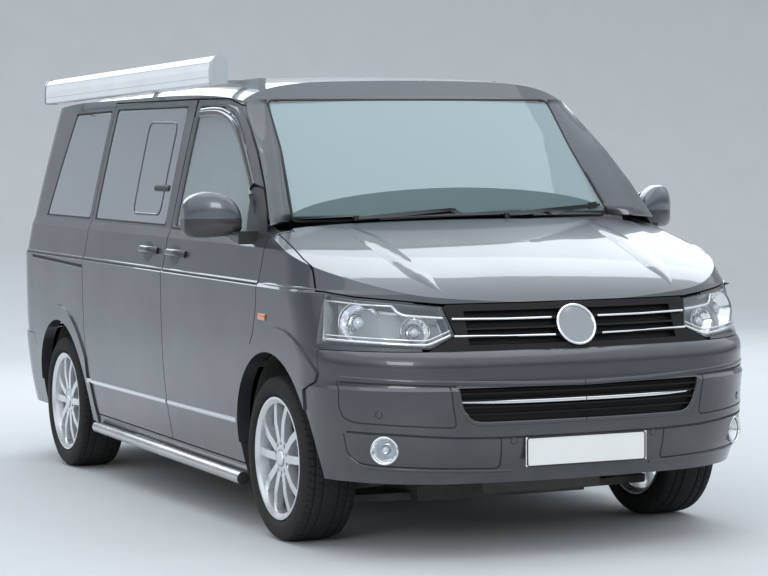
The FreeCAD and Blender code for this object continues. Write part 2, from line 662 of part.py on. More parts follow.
tail_lamp_zone = front_prism(scaled_front(TAIL_LAMP_SHARES), -0.455 * length, -0.52 * length, -seat)
tail_lamp = largest(shell.common(tail_lamp_zone))
tail_lamp_hole = front_prism(scaled_front(TAIL_LAMP_SHARES), -0.455 * length + seat, -0.52 * length)
add_part("tail_lamps", Part.makeCompound([tail_lamp, mirrored(tail_lamp)]), stance)

# Body shell: roof, pillars, rear quarters and sills

frame = shell.fuse(rear_flare).fuse(mirrored(rear_flare))
nose_side = side_prism([(0.268 * length, 0.0), (0.268 * length, 0.6745 * tall), (0.54 * length, 0.6745 * tall),
                        (0.54 * length, 0.0)], BONNET_SHARES[0][1] * width, width)
nose_middle = side_prism([(0.268 * length, 0.0), (0.268 * length, 0.640 * tall), (0.2805 * length, 0.640 * tall),
                          (0.2805 * length, 0.7 * tall), (0.54 * length, 0.7 * tall), (0.54 * length, 0.0)],
                         -BONNET_SHARES[0][1] * width, BONNET_SHARES[0][1] * width)
rear_hole = side_prism(scaled_side(rear_window_shares), SIDE_DEPTH_SHARE * half, width)
cuts = [nose_side, mirrored(nose_side), nose_middle, screen_hole, front_hole, mirrored(front_hole), slide_hole, mirrored(slide_hole),
        rear_hole, mirrored(rear_hole), tailgate_hole, rear_bumper_hole, tail_lamp_hole,
        mirrored(tail_lamp_hole), rear_arches, front_arches]
for cutter in cuts:
    frame = frame.cut(cutter)
add_part("body_shell", largest(frame), stance)

# Underbody: floor, firewall and wheel houses

floor_low = 0.2080 * tall
floor_high = floor_low + size["floor_thick"]
wall_x = 0.2720 * length
floor_zone = inner.common(box(-0.4700 * length, wall_x, -half, half, floor_low, floor_high))
firewall = inner.common(box(wall_x - size["floor_thick"], wall_x, -half, half, floor_low, 0.655 * tall))
liner = size["liner_thick"]


def wheel_house(hub, radius, depth, wall_low):
    """Half a drum over a wheel with a wall on its inner side, left side."""
    y_in = half - depth
    y_out = half_width(floor_low) - wall - seat
    drum = cylinder_y(radius + liner, y_in - liner, y_out, hub)
    hollow = cylinder_y(radius, y_in, y_out + over, hub)
    solid = drum.cut(hollow)
    reach = radius + 2 * liner
    low = box(hub[0] - reach, hub[0] + reach, 0, half, 0, floor_low)
    window = box(hub[0] - reach, hub[0] + reach, y_in - 2 * liner, y_in + seat, 0, wall_low)
    return solid.cut(low).cut(window), hollow


front_wheel_house, front_hollow = wheel_house(front_hub, size["front_arch"], size["front_house"],
                                              front_hub[1] + 0.6 * size["front_arch"])
behind_nose = inner.copy()
behind_nose.translate(V(-2 * seat, 0, 0))
front_wheel_house = front_wheel_house.common(behind_nose)
rear_wheel_house, rear_hollow = wheel_house(rear_hub, size["rear_arch"], size["rear_house"], floor_low)
under = floor_zone.fuse(firewall)
for hollow in (front_hollow, rear_hollow):
    under = under.cut(hollow).cut(mirrored(hollow))
for house in (front_wheel_house, rear_wheel_house):
    under = under.fuse(house).fuse(mirrored(house))
RAIL_SHARES = (0.152, 0.172)
RAIL_LOW_SHARE = 0.235
for sign in (1, -1):
    edges = sorted((sign * RAIL_SHARES[0] * width, sign * RAIL_SHARES[1] * width))
    rail = box(wall_x - over, 0.4650 * length, edges[0], edges[1], RAIL_LOW_SHARE * tall, 0.285 * tall)
    under = under.fuse(rail)
LUG_LOW_SHARE = 0.6365
lug_low = LUG_LOW_SHARE * tall
lug_top = lug_low + size["lug_thick"]
lug_line = [(wall_x - size["floor_thick"] / 2, lug_low), (hinge_pin[0] + eye, lug_low), (hinge_pin[0] + eye, hinge_pin[1]),
            (hinge_pin[0] - eye, hinge_pin[1]), (hinge_pin[0] - eye, lug_top), (wall_x - size["floor_thick"] / 2, lug_top)]
lug = side_prism(lug_line, hinge_y - lug_half, hinge_y + lug_half)
lug = lug.fuse(cylinder_y(eye, hinge_y - lug_half, hinge_y + lug_half, hinge_pin))
lug = lug.cut(cylinder_y(size["pin_radius"] + seat, 0, half, hinge_pin))
under = under.fuse(lug).fuse(mirrored(lug))
add_part("underbody", largest(under), stance)

# Wheels: a tyre with four grooves and an alloy rim with paired spokes

tyre_half = size["tyre_width"] / 2
rim_half = size["rim_width"] / 2
groove_deep = 0.024 * size["tyre_radius"]


def revolved(profile, centre):
    """Profile of (y, radius) turned about the wheel's axis."""
    wire = polygon([V(0, y, r) for y, r in profile])
    solid = Part.Face(wire).revolve(V(0, 0, 0), V(0, 1, 0), 360)
    solid.translate(centre)
    return solid


TYRE_SHARES = [(0.86, 0.0), (0.98, 0.25), (1.0, 0.50), (0.96, 0.78), (0.86, 0.955), (0.70, 0.99)]
GROOVE_PLACE_SHARES = (-0.52, -0.18, 0.18, 0.52)
GROOVE_WIDE_SHARE = 0.045
rubber = size["tyre_radius"] - size["rim_radius"]
bead = size["rim_radius"] + seat


def tyre_profile():
    right = [(tyre_half * y, bead + (rubber - seat) * r) for y, r in TYRE_SHARES]
    tread = []
    for place in reversed(GROOVE_PLACE_SHARES):
        outside = tyre_half * (place + GROOVE_WIDE_SHARE)
        inside = tyre_half * (place - GROOVE_WIDE_SHARE)
        floor = size["tyre_radius"] - groove_deep
        tread += [(outside, size["tyre_radius"]), (outside, floor), (inside, floor),
                  (inside, size["tyre_radius"])]
    left = [(-y, r) for y, r in reversed(right)]
    return right + tread + left


def rim_profile():
    r = size["rim_radius"]
    t = size["rim_barrel"]
    lip = 0.10 * r
    return [(-rim_half, r), (-rim_half, r - t), (-0.80 * rim_half, r - lip), (0.55 * rim_half, r - 1.3 * lip),
            (0.90 * rim_half, r - lip), (rim_half, r - t), (rim_half, r), (0.86 * rim_half, r),
            (0.86 * rim_half, r - 0.5 * lip), (-0.86 * rim_half, r - 0.5 * lip), (-0.86 * rim_half, r)]


SPOKE_SHARES = [(0.25, 0.83), (0.60, 0.88), (0.93, 0.80), (0.93, 0.58), (0.60, 0.62), (0.25, 0.42)]
SPOKE_WIDE_SHARES = (0.20, 0.13)
BOLT_FLOOR_SHARE = 0.35


def spoke(angle):
    """A blade in the plane of the axis, wider at the hub."""
    r = size["rim_radius"]
    points = [V(0, y * rim_half, share * r) for share, y in SPOKE_SHARES]
    blade = Part.Face(polygon(points)).extrude(V(SPOKE_WIDE_SHARES[1] * r, 0, 0))
    blade.translate(V(-SPOKE_WIDE_SHARES[1] * r / 2, 0, 0))
    blade.rotate(V(0, 0, 0), V(0, 1, 0), angle)
    return blade


def rim_solid(centre):
    r = size["rim_radius"]
    barrel = revolved(rim_profile(), V(0, 0, 0))
    hub = [(0.84 * rim_half, 0.0), (0.84 * rim_half, 0.16 * r), (0.80 * rim_half, size["hub_radius"]),
           (0.30 * rim_half, size["hub_radius"]), (-0.25 * rim_half, 0.9 * size["hub_radius"]),
           (-0.25 * rim_half, size["disc_radius"]), (-0.25 * rim_half - size["disc_thick"], size["disc_radius"]),
           (-0.25 * rim_half - size["disc_thick"], 0.0)]
    whole = barrel.fuse(revolved(hub, V(0, 0, 0)))
    step = 360 / size["spoke_pairs"]
    spread = 0.22 * step
    for pair in range(int(size["spoke_pairs"])):
        for sign in (-1, 1):
            whole = whole.fuse(spoke(pair * step + sign * spread))
    bolt_turn = 360 / size["bolt_count"]
    for index in range(int(size["bolt_count"])):
        hole = Part.makeCylinder(size["bolt_hole"], rim_half, V(0, BOLT_FLOOR_SHARE * rim_half, size["bolt_circle"]), V(0, 1, 0))
        hole.rotate(V(0, 0, 0), V(0, 1, 0), index * bolt_turn + bolt_turn / 2)
        whole = whole.cut(hole)
    whole = largest(whole)
    whole.translate(centre)
    return whole


tyre_left = revolved(tyre_profile(), V(0, 0, 0))
rim_left = rim_solid(V(0, 0, 0))
for end, x in (("front", front_axle), ("rear", rear_axle)):
    for side, turn in SIDES:
        sign = 1 if side == "left" else -1
        place = FreeCAD.Placement(V(x, sign * track, axle_height), FreeCAD.Rotation())
        add_part("tyre_%s_%s" % (end, side), turn(tyre_left), place)
        add_part("rim_%s_%s" % (end, side), turn(rim_left), place)

# Running gear

disc_inner_y = track - 0.25 * rim_half - size["disc_thick"]
KINGPIN_SHARES = (0.386, 0.662, 0.332, 2.30)
lower_pin = V(front_axle, 0.386 * width, 0.60 * axle_height)
upper_pin = V(front_axle, 0.332 * width, 2.24 * axle_height)
lean = (upper_pin - lower_pin).normalize()
carrier_y = disc_inner_y - seat
carrier = Part.makeCylinder(0.20 * axle_height, 0.036 * width, V(front_axle, carrier_y - 0.036 * width, axle_height),
                            V(0, 1, 0))
upright_low = V(front_axle, lower_pin.y, lower_pin.z + 0.04 * axle_height)
upright = Part.makeBox(0.24 * axle_height, 0.030 * width, 0.72 * axle_height,
                       V(front_axle - 0.12 * axle_height, carrier_y - 0.044 * width,
                         0.64 * axle_height))
strut_low = V(front_axle, 0.347 * width, 1.20 * axle_height)
strut = Part.makeCylinder(0.066 * axle_height, (upper_pin - strut_low).Length - 0.10 * axle_height, strut_low,
                          upper_pin - strut_low)
spring = Part.makeCylinder(0.15 * axle_height, 0.14 * axle_height,
                           strut_low + (upper_pin - strut_low) * 0.84, upper_pin - strut_low)
bracket = Part.makeBox(0.16 * axle_height, carrier_y - 0.030 * width - 0.340 * width, 0.20 * axle_height,
                       V(front_axle - 0.08 * axle_height, 0.340 * width, 1.16 * axle_height))
steer_arm = Part.makeBox(0.42 * axle_height, 0.022 * width, 0.10 * axle_height,
                         V(front_axle - 0.42 * axle_height, 0.360 * width, 0.82 * axle_height))
knuckle = joined([carrier, upright, bracket, strut, spring, steer_arm])
for side, turn in SIDES:
    add_part("knuckle_" + side, turn(largest(knuckle)))

ARM_TOP_SHARE = 0.52
UPRIGHT_FOOT_SHARE = 0.64
BALL_SHARE = 0.045
arm_top = ARM_TOP_SHARE * axle_height
ARM_SHARES = [(-0.50, 0.18), (-0.20, 0.380), (-0.10, 0.3930), (0.10, 0.3930), (0.20, 0.380), (0.32, 0.18)]
arm_plan = [(front_axle + x * axle_height, y * width) for x, y in ARM_SHARES]
arm = plan_prism(arm_plan, arm_top - 0.09 * axle_height, arm_top)
ball_radius = BALL_SHARE * axle_height
ball_z = UPRIGHT_FOOT_SHARE * axle_height - seat - ball_radius
kingpin = upper_pin - lower_pin
ball_centre = lower_pin + kingpin * ((ball_z - lower_pin.z) / kingpin.z)
ball = Part.makeSphere(ball_radius, ball_centre)
stem = Part.makeCylinder(ball_radius / 2, ball_z - arm_top + seat, V(front_axle, ball_centre.y, arm_top - seat))
ball = ball.fuse(stem)
cradle = box(front_axle - 0.95 * axle_height, front_axle + 0.5 * axle_height, -0.20 * width, 0.20 * width,
             arm_top - 0.09 * axle_height, arm_top + 0.10 * axle_height)
post_top = stance.multVec(V(front_hub[0] + 0.2 * axle_height, 0, RAIL_LOW_SHARE * tall)).z - seat
posts = [box(front_axle - 0.1 * axle_height, front_axle + 0.1 * axle_height, sign * 0.162 * width - 0.008 * width,
             sign * 0.162 * width + 0.008 * width, arm_top, post_top) for sign in (1, -1)]
front_gear = joined([cradle, arm, mirrored(arm), ball, mirrored(ball)] + posts)
add_part("front_suspension", largest(front_gear))

beam = Part.makeCylinder(0.13 * axle_height, 2 * carrier_y, V(rear_axle, -carrier_y, axle_height), V(0, 1, 0))
trailing = []
spring_top = stance.multVec(V(rear_hub[0] + 0.17 * axle_height, 0, floor_low)).z - seat
for sign in (1, -1):
    y = sign * 0.300 * width
    trailing.append(box(rear_axle, rear_axle + 1.55 * axle_height, y - 0.018 * width, y + 0.018 * width,
                        0.80 * axle_height, axle_height))
    trailing.append(Part.makeCylinder(0.17 * axle_height, spring_top - 1.08 * axle_height,
                                      V(rear_axle, y, 1.08 * axle_height)))
rear_gear = joined([beam] + trailing)
add_part("rear_axle", largest(rear_gear))
add_part("engine_block", box(front_axle - 0.15 * size["engine_length"], front_axle + 0.85 * size["engine_length"],
                             -0.36 * size["engine_breadth"], 0.36 * size["engine_breadth"],
                             arm_top + 0.10 * axle_height + seat,
                             arm_top + 0.10 * axle_height + size["engine_height"]))
pipe_low = 0.1140 * tall
pipe_y = -0.20 * width
pipe_rear = -0.4700 * length
pipe_run = Part.makeCylinder(size["exhaust_radius"], 0.5 * length, V(pipe_rear, pipe_y, pipe_low), V(1, 0, 0))
muffler = Part.makeCylinder(2.4 * size["exhaust_radius"], 0.10 * length, V(-0.4400 * length, pipe_y, pipe_low), V(1, 0, 0))
hangers = []
for share in (-0.39, -0.10, 0.02):
    x = share * length
    hangers.append(box(x - 0.2 * size["exhaust_radius"], x + 0.2 * size["exhaust_radius"], pipe_y - 0.2 * size["exhaust_radius"],
                       pipe_y + 0.2 * size["exhaust_radius"], pipe_low, floor_low - seat))
add_part("exhaust", largest(joined([pipe_run, muffler] + hangers)), stance)

# Side tubes, number plates, awning and roof rails

tube_z = 0.148 * tall
tube_y = half + 0.2 * size["tube_radius"]
tube_x = -0.1900 * length
side_tube = Part.makeCylinder(size["tube_radius"], size["tube_length"], V(tube_x, tube_y - 1.6 * size["tube_radius"], 0.1190 * tall),
                              V(1, 0, 0))
legs = []
for share in (0.12, 0.88):
    x = tube_x + share * size["tube_length"]
    legs.append(box(x - size["tube_radius"] / 2, x + size["tube_radius"] / 2,
                    0.36 * width, tube_y - 1.6 * size["tube_radius"], 0.1190 * tall - size["tube_radius"] / 2,
                    0.1190 * tall + size["tube_radius"] / 2))
    legs.append(box(x - size["tube_radius"] / 2, x + size["tube_radius"] / 2, 0.36 * width, 0.375 * width,
                    0.1190 * tall - size["tube_radius"] / 2, floor_low - seat))
side_tube = joined([side_tube] + legs)
add_part("side_tubes", Part.makeCompound([side_tube, mirrored(side_tube)]), stance)

plate_back = box(0.45 * length, 0.52 * length, -size["plate_width"] / 2, size["plate_width"] / 2,
                 0.234 * tall - size["plate_height"] / 2, 0.234 * tall + size["plate_height"] / 2)
plate_x = bumper.common(plate_back).optimalBoundingBox(False).XMax
front_plate = box(plate_x + seat, plate_x + seat + size["plate_thick"], -size["plate_width"] / 2, size["plate_width"] / 2,
                  0.234 * tall - size["plate_height"] / 2, 0.234 * tall + size["plate_height"] / 2)
rear_plate_z = 0.400 * tall
rear_plate_x = tail_at(rear_plate_z)
rear_plate = box(rear_plate_x - seat - size["plate_thick"], rear_plate_x - seat, -size["plate_width"] / 2,
                 size["plate_width"] / 2, rear_plate_z, rear_plate_z + size["plate_height"])
add_part("rear_plate", rear_plate, stance)
add_part("front_plate", front_plate, stance)

awning_x = -0.3747 * length
awning_low = 0.9668 * tall
awning_out = 0.4727 * width
AWNING_SHARES = [(0.0, 0.04), (0.10, 0.0), (0.90, 0.0), (1.0, 0.04), (1.0, 0.50), (0.93, 0.78), (0.72, 0.96), (0.44, 1.0),
                 (0.18, 0.93), (0.0, 0.76)]
CASE_INSET_SHARE = 0.02
awning_face = [(-awning_out + size["awning_depth"] * (1 - y), awning_low + size["awning_height"] * z)
               for y, z in AWNING_SHARES]
cap = size["awning_cap"]
case = front_prism(awning_face, awning_x + cap, awning_x + size["awning_length"] - cap,
                   -CASE_INSET_SHARE * size["awning_height"])
caps = [front_prism(awning_face, awning_x, awning_x + cap),
        front_prism(awning_face, awning_x + size["awning_length"] - cap, awning_x + size["awning_length"])]
awning = joined([case] + caps)
add_part("awning_case", awning)
roof_block = outer.common(box(-0.46 * length, 0.20 * length, -width, width, 0.9 * tall, 1.1 * tall))
roof_on_ground = roof_block.transformed(stance.toMatrix())
rail_y = 0.3450 * width
RAIL_END_SHARES = (0.0660, 0.9880)
BRACKET_PLACE_SHARES = (0.10, 0.50, 0.90)
bracket_low = 0.9740 * tall
bracket_top = bracket_low + size["bracket_thick"]
rail_half = size["rail_width"] / 2
carrier_rail = box(awning_x + cap, awning_x + size["awning_length"] - cap, -rail_y - rail_half, -rail_y + rail_half,
                   0.93 * tall, bracket_top)
brackets = [carrier_rail]
case_back = size["awning_depth"] - awning_out - CASE_INSET_SHARE * size["awning_height"]
for share in BRACKET_PLACE_SHARES:
    x = awning_x + share * size["awning_length"]
    brackets.append(box(x - rail_half, x + rail_half, case_back + seat, -rail_y, bracket_low, bracket_top))
rail_solid = joined(brackets).cut(roof_on_ground)
add_part("awning_rail", largest(rail_solid))
left_rail = box(-0.40 * length, RAIL_END_SHARES[0] * length, rail_y - rail_half / 2, rail_y + rail_half / 2, 0.93 * tall,
                RAIL_END_SHARES[1] * tall)
left_rail = left_rail.cut(roof_block)
add_part("roof_rail", largest(left_rail), stance)

# Mirrors on the front doors

# Stations from the arm to the outer end: side, low and high edge, middle along the body, half depth.
MIRROR_STATION_SHARES = [(0.4950, 0.6560, 0.6900, 0.2440, 0.0060), (0.5120, 0.6480, 0.7230, 0.2400, 0.0105),
                         (0.5460, 0.6430, 0.7390, 0.2335, 0.0128), (0.5750, 0.6415, 0.7370, 0.2265, 0.0122),
                         (0.5950, 0.6450, 0.7240, 0.2212, 0.0096), (0.6030, 0.6560, 0.7060, 0.2190, 0.0050)]
MIRROR_ARM_SHARES = [(0.2420, 0.6540), (0.2420, 0.6380), (0.2620, 0.6290), (0.2620, 0.6560)]
SECTION_STEPS = 12
SECTION_SQUARE = 0.62


def mirror_section(side, low, high, middle, depth):
    """A rounded oblong in a plane across the body."""
    points = []
    for step in range(SECTION_STEPS):
        turn = 2 * math.pi * step / SECTION_STEPS
        across = math.copysign(abs(math.cos(turn)) ** SECTION_SQUARE, math.cos(turn))
        up = math.copysign(abs(math.sin(turn)) ** SECTION_SQUARE, math.sin(turn))
        points.append(V((middle + depth * across) * length, side * width, ((high + low) / 2 + (high - low) / 2 * up) * tall))
    curve = Part.BSplineCurve()
    curve.interpolate(points, True)
    return Part.Wire([curve.toShape()])


housing = Part.makeLoft([mirror_section(*station) for station in MIRROR_STATION_SHARES], True)
arm_high = Part.Face(polygon([V(x * length, 0, z * tall) for x, z in MIRROR_ARM_SHARES]))
arm_high.translate(V(0, 0.44 * width, 0))
stalk = arm_high.extrude(V(0, 0.075 * width, 0)).cut(outer)
mirror = housing.fuse(stalk)
for side, turn in SIDES:
    add_part("mirror_" + side, turn(largest(mirror)), stance)

# Cabin: dashboard, steering wheel, seats, bench and cabinet

dash_low = 0.42 * tall
dash_high = 0.655 * tall
dash = inner.common(side_prism([(wall_x - size["floor_thick"] - seat, dash_low), (wall_x - size["floor_thick"] - seat, dash_high),
                                (0.225 * length, dash_high), (0.195 * length, 0.60 * tall),
                                (0.205 * length, 0.50 * tall), (0.235 * length, dash_low)], -0.42 * width, 0.42 * width))
ring = doc.addObject("Part::Torus", "steering_ring")
ring.setExpression("Radius1", "sizes.wheel_ring")
ring.setExpression("Radius2", "sizes.ring_grip")
column = doc.addObject("Part::Cylinder", "steering_column")
column.setExpression("Radius", "sizes.ring_grip * 1.6")
column.setExpression("Height", "sizes.wheel_ring * 0.9")
column.Placement = FreeCAD.Placement(V(0, 0, 0), FreeCAD.Rotation(V(1, 0, 0), 0))
boss = doc.addObject("Part::Cylinder", "steering_boss")
boss.setExpression("Radius", "sizes.wheel_ring * 0.42")
boss.setExpression("Height", "sizes.ring_grip * 2")
bar = doc.addObject("Part::Box", "steering_bar")
bar.setExpression("Length", "sizes.wheel_ring * 2")
bar.setExpression("Width", "sizes.ring_grip * 1.8")
bar.setExpression("Height", "sizes.ring_grip")
bar.setExpression("Placement.Base.x", "-sizes.wheel_ring")
bar.setExpression("Placement.Base.y", "-sizes.ring_grip * 0.9")
wheel = doc.addObject("Part::MultiFuse", "steering_wheel")
wheel.Shapes = [ring, column, boss, bar]
seat_y = 0.2200 * width
ring_place = FreeCAD.Placement(V(0.1760 * length, -seat_y, 0.575 * tall), FreeCAD.Rotation(V(0, 1, 0), 120))
wheel.Placement = stance.multiply(ring_place)
doc.recompute()
adopt("steering_wheel", wheel)
seat_y = 0.2200 * width
column_hole = Part.makeCylinder(size["ring_grip"] * 1.6 + seat, size["wheel_ring"] * 0.9 + seat)
column_hole.Placement = ring_place
add_part("dashboard", largest(dash.cut(column_hole)), stance)


def seat_solid(centre_y, wide, back_x, deep, back_high):
    """Cushion, backrest and head restraint on a base."""
    cushion = size["cushion_thick"]
    top = floor_high + 0.17 * tall
    base = box(back_x + 0.15 * deep, back_x + 0.85 * deep, centre_y - 0.36 * wide, centre_y + 0.36 * wide,
               floor_high + seat, top)
    pad = box(back_x, back_x + deep, centre_y - wide / 2, centre_y + wide / 2, top, top + cushion)
    pad = pad.makeFillet(0.28 * cushion, pad.Edges)
    rest = side_prism([(back_x - 0.02 * deep, top + 0.3 * cushion), (back_x + 0.22 * deep, top + 0.3 * cushion),
                       (back_x - 0.06 * deep, top + back_high), (back_x - 0.26 * deep, top + back_high)],
                      centre_y - wide / 2, centre_y + wide / 2)
    head = box(back_x - 0.33 * deep, back_x - 0.12 * deep, centre_y - 0.25 * wide, centre_y + 0.25 * wide,
               top + back_high - 0.02 * deep, top + back_high + 0.32 * deep)
    return largest(joined([base, pad, rest, head]))


front_seat = seat_solid(seat_y, size["seat_width"], 0.0560 * length, size["seat_depth"], 1.22 * size["seat_depth"])
add_part("front_seats", Part.makeCompound([front_seat, mirrored(front_seat)]), stance)
bench = seat_solid(-0.06 * width, 2.1 * size["seat_width"], -0.2000 * length, size["seat_depth"], 1.1 * size["seat_depth"])
add_part("rear_bench", bench, stance)
cabinet = box(-0.4150 * length, -0.0400 * length, 0.2650 * width, 0.3900 * width, floor_high + seat, 0.62 * tall)
cabinet = cabinet.cut(rear_wheel_house).cut(rear_hollow)
add_part("cabinet", largest(cabinet), stance)

# Wipers parked over the foot of the windscreen, each with its blade, arm and pivot

WIPER_BLADE_SHARES = [((-0.2043, 0.6785), (0.1597, 0.6875)), ((0.2200, 0.6825), (0.3700, 0.6990))]
WIPER_PIVOT_SHARES = (0.2748, 0.2790)
WIPER_ARM_SHARES = [((-0.2542, 0.6790), (-0.0032, 0.6945)), ((0.1050, 0.6805), (0.3556, 0.6985))]
WIPER_BLOCK_SHARES = [((-0.0140, 0.6885), (0.0060, 0.6890)), ((0.3420, 0.6965), (0.3620, 0.6985))]
BLADE_HIGH_SHARE = 0.0050
ARM_HIGH_SHARE = 0.0052
BLOCK_HIGH_SHARE = 0.0140
LAYER_SHARE = 0.0018
WIPER_ZONE_SHARES = (0.2000, 0.2800, 0.4500, 0.6000, 0.7500)
PIVOT_SHARES = (0.0060, 0.6600, 0.0260)
wiper_zone = box(WIPER_ZONE_SHARES[0] * length, WIPER_ZONE_SHARES[1] * length, -WIPER_ZONE_SHARES[2] * width,
                 WIPER_ZONE_SHARES[2] * width, WIPER_ZONE_SHARES[3] * tall, WIPER_ZONE_SHARES[4] * tall)
foot_block = outer.common(wiper_zone)
near_face = foot_block.copy()
near_face.translate(V(seat, 0, seat))
far_face = foot_block.copy()
far_face.translate(V(LAYER_SHARE * length, 0, LAYER_SHARE * length))
layer = far_face.cut(near_face)
seat_face = foot_block.copy()
seat_face.translate(V(0, 0, 2 * seat))


def strip_over_glass(ends, high):
    """A narrow strip of the layer in front of the glass, between two places of the front view."""
    (y_start, z_start), (y_end, z_end) = scaled_front(ends)
    rise = high * tall / 2
    band = [(y_start, z_start - rise), (y_end, z_end - rise), (y_end, z_end + rise), (y_start, z_start + rise)]
    return layer.common(front_prism(band, WIPER_ZONE_SHARES[0] * length, WIPER_ZONE_SHARES[1] * length))


wiper_solids = []
for blade_ends, arm_ends, block_ends, pivot_share in zip(WIPER_BLADE_SHARES, WIPER_ARM_SHARES, WIPER_BLOCK_SHARES,
                                                         WIPER_PIVOT_SHARES):
    blade = strip_over_glass(blade_ends, BLADE_HIGH_SHARE)
    arm = strip_over_glass(arm_ends, ARM_HIGH_SHARE)
    block = strip_over_glass(block_ends, BLOCK_HIGH_SHARE)
    pivot_foot = V(pivot_share * length, arm_ends[0][0] * width, PIVOT_SHARES[1] * tall)
    pivot = Part.makeCylinder(PIVOT_SHARES[0] * width, PIVOT_SHARES[2] * tall, pivot_foot)
    wiper_solids.append(largest(joined([blade, block, arm, pivot.cut(seat_face)])))
add_part("wipers", Part.makeCompound(wiper_solids), stance)

# Checks before the files are written

doc.recompute()
for item in doc.Objects:
    if "Invalid" in item.State or "Error" in item.State:
        raise RuntimeError("object failed: " + item.Name)
os.makedirs("parts", exist_ok=True)
for name, item in FINISHED.items():
    shape = item.Shape
    if shape.isNull() or not shape.isValid() or not shape.Solids:
        raise RuntimeError("bad shape: " + name)
for name, item in FINISHED.items():
    item.Shape.exportStep(os.path.join("parts", name + ".step"))
print("parts written:", len(FINISHED))
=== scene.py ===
# %% [markdown]
# # A camper van, dressed
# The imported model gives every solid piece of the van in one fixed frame: metres, +X forward, +Y to the
# van's left, the ground at z = 0. This file leaves those solids where they are and gives them their looks.
# Each step first says what the real piece is, then how it is made here and why.

# %% Load the frame
import math

import bmesh
import bpy
import numpy as np
from mathutils import Matrix, Vector
from mathutils.bvhtree import BVHTree


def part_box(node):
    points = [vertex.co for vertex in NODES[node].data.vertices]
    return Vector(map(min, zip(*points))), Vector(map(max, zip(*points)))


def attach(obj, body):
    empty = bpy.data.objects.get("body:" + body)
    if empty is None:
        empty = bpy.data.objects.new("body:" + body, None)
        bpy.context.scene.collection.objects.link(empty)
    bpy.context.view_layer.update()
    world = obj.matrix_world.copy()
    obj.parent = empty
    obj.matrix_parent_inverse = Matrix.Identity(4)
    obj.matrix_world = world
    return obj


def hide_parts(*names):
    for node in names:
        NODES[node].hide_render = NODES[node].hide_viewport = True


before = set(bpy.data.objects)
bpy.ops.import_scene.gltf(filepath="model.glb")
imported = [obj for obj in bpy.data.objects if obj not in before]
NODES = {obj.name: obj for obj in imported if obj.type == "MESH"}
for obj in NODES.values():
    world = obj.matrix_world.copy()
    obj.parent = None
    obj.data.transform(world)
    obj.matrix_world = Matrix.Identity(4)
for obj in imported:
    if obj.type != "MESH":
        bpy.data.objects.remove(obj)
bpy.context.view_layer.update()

# %% [markdown]
# ## Sizes
# The body leans about one degree nose down on its wheels, so trim is laid out in a level body frame and then
# turned with the body. `stand` does that turn for whole arrays of points.

# %% Sizes and the body's lean
PITCH = math.radians(1.0256)
SHIFT = 0.011
AXLE_AT = {"front": 1.537, "rear": -1.463}
AXLE_HEIGHT, TRACK = 0.333, 0.814
SIDES = ((-1, "right"), (1, "left"))


def stand(points):
    """Level body frame to the ground frame: a turn of PITCH about Y, then SHIFT backwards."""
    p = np.asarray(points, float)
    x = p[..., 0] * math.cos(PITCH) + p[..., 2] * math.sin(PITCH) - SHIFT
    z = -p[..., 0] * math.sin(PITCH) + p[..., 2] * math.cos(PITCH)
    return np.stack([x, p[..., 1], z], -1)


def stood(direction):
    """A direction of the body frame turned into the ground frame."""
    return stand(np.asarray(direction, float)) - stand(np.zeros(3))


def mirrored(points, side):
    """Points (across, up) of the left side, or their mirror image on the right."""
    return [(across * side, up) for across, up in points]


# %% [markdown]
# ## Meshes from arrays
# A surface here is a grid of points, one row for each step along it. `grid_piece` joins neighbours with
# quads. A loop that closes on itself wraps its last column to the first, and an end can be closed with a
# fan, so that the piece has no open edge.

# %% Mesh helpers
def mesh_piece(name, points, faces, material, body, angle=35):
    """Vertices and faces to an object at the origin that rides on a CAD body, smooth up to angle degrees."""
    mesh = bpy.data.meshes.new(name)
    mesh.from_pydata(np.asarray(points, float).tolist(), [], [list(map(int, f)) for f in faces])
    mesh.validate()
    piece = bpy.data.objects.new(name, mesh)
    bpy.context.scene.collection.objects.link(piece)
    mesh.materials.append(material)
    mesh.polygons.foreach_set("use_smooth", np.ones(len(mesh.polygons), bool))
    mesh.set_sharp_from_angle(angle=math.radians(angle))
    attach(piece, body)
    return piece


def grid_faces(rows, columns, wrap_rows=False, wrap_columns=False, start=0):
    """Quads between neighbours of a rows x columns grid, as one array."""
    r = np.arange(rows if wrap_rows else rows - 1)
    c = np.arange(columns if wrap_columns else columns - 1)
    rr, cc = np.meshgrid(r, c, indexing="ij")
    r1, c1 = (rr + 1) % rows, (cc + 1) % columns
    quads = np.stack([rr * columns + cc, r1 * columns + cc, r1 * columns + c1, rr * columns + c1], -1)
    return (quads.reshape(-1, 4) + start)


def recalculated(piece):
    """Doubles merged and faces turned outwards."""
    work = bmesh.new()
    work.from_mesh(piece.data)
    bmesh.ops.remove_doubles(work, verts=work.verts, dist=1e-6)
    bmesh.ops.recalc_face_normals(work, faces=work.faces)
    work.to_mesh(piece.data)
    work.free()
    return piece


def grid_piece(name, grid, material, body, wrap_rows=False, wrap_columns=False, caps=False,
               angle=35):
    """A rows x columns grid of points as a piece. caps closes the first and last rows."""
    rows, columns = grid.shape[:2]
    points = grid.reshape(-1, 3)
    faces = list(grid_faces(rows, columns, wrap_rows, wrap_columns))
    if caps:
        faces.append(np.arange(columns)[::-1])
        faces.append(np.arange(columns) + (rows - 1) * columns)
    piece = mesh_piece(name, points, faces, material, body, angle=angle)
    return recalculated(piece)


def shell_piece(name, front, back, material, body, angle=50):
    """A thin cover: its front grid joined round the edge to its back grid, with closed ends."""
    grid = np.concatenate([front, back[:, ::-1]], 1)
    return grid_piece(name, grid, material, body, wrap_columns=True, caps=True, angle=angle)


# %% Small formulas
def unit(vectors):
    """Each vector over its own length."""
    return vectors / np.maximum(np.linalg.norm(vectors, axis=-1, keepdims=True), 1e-12)


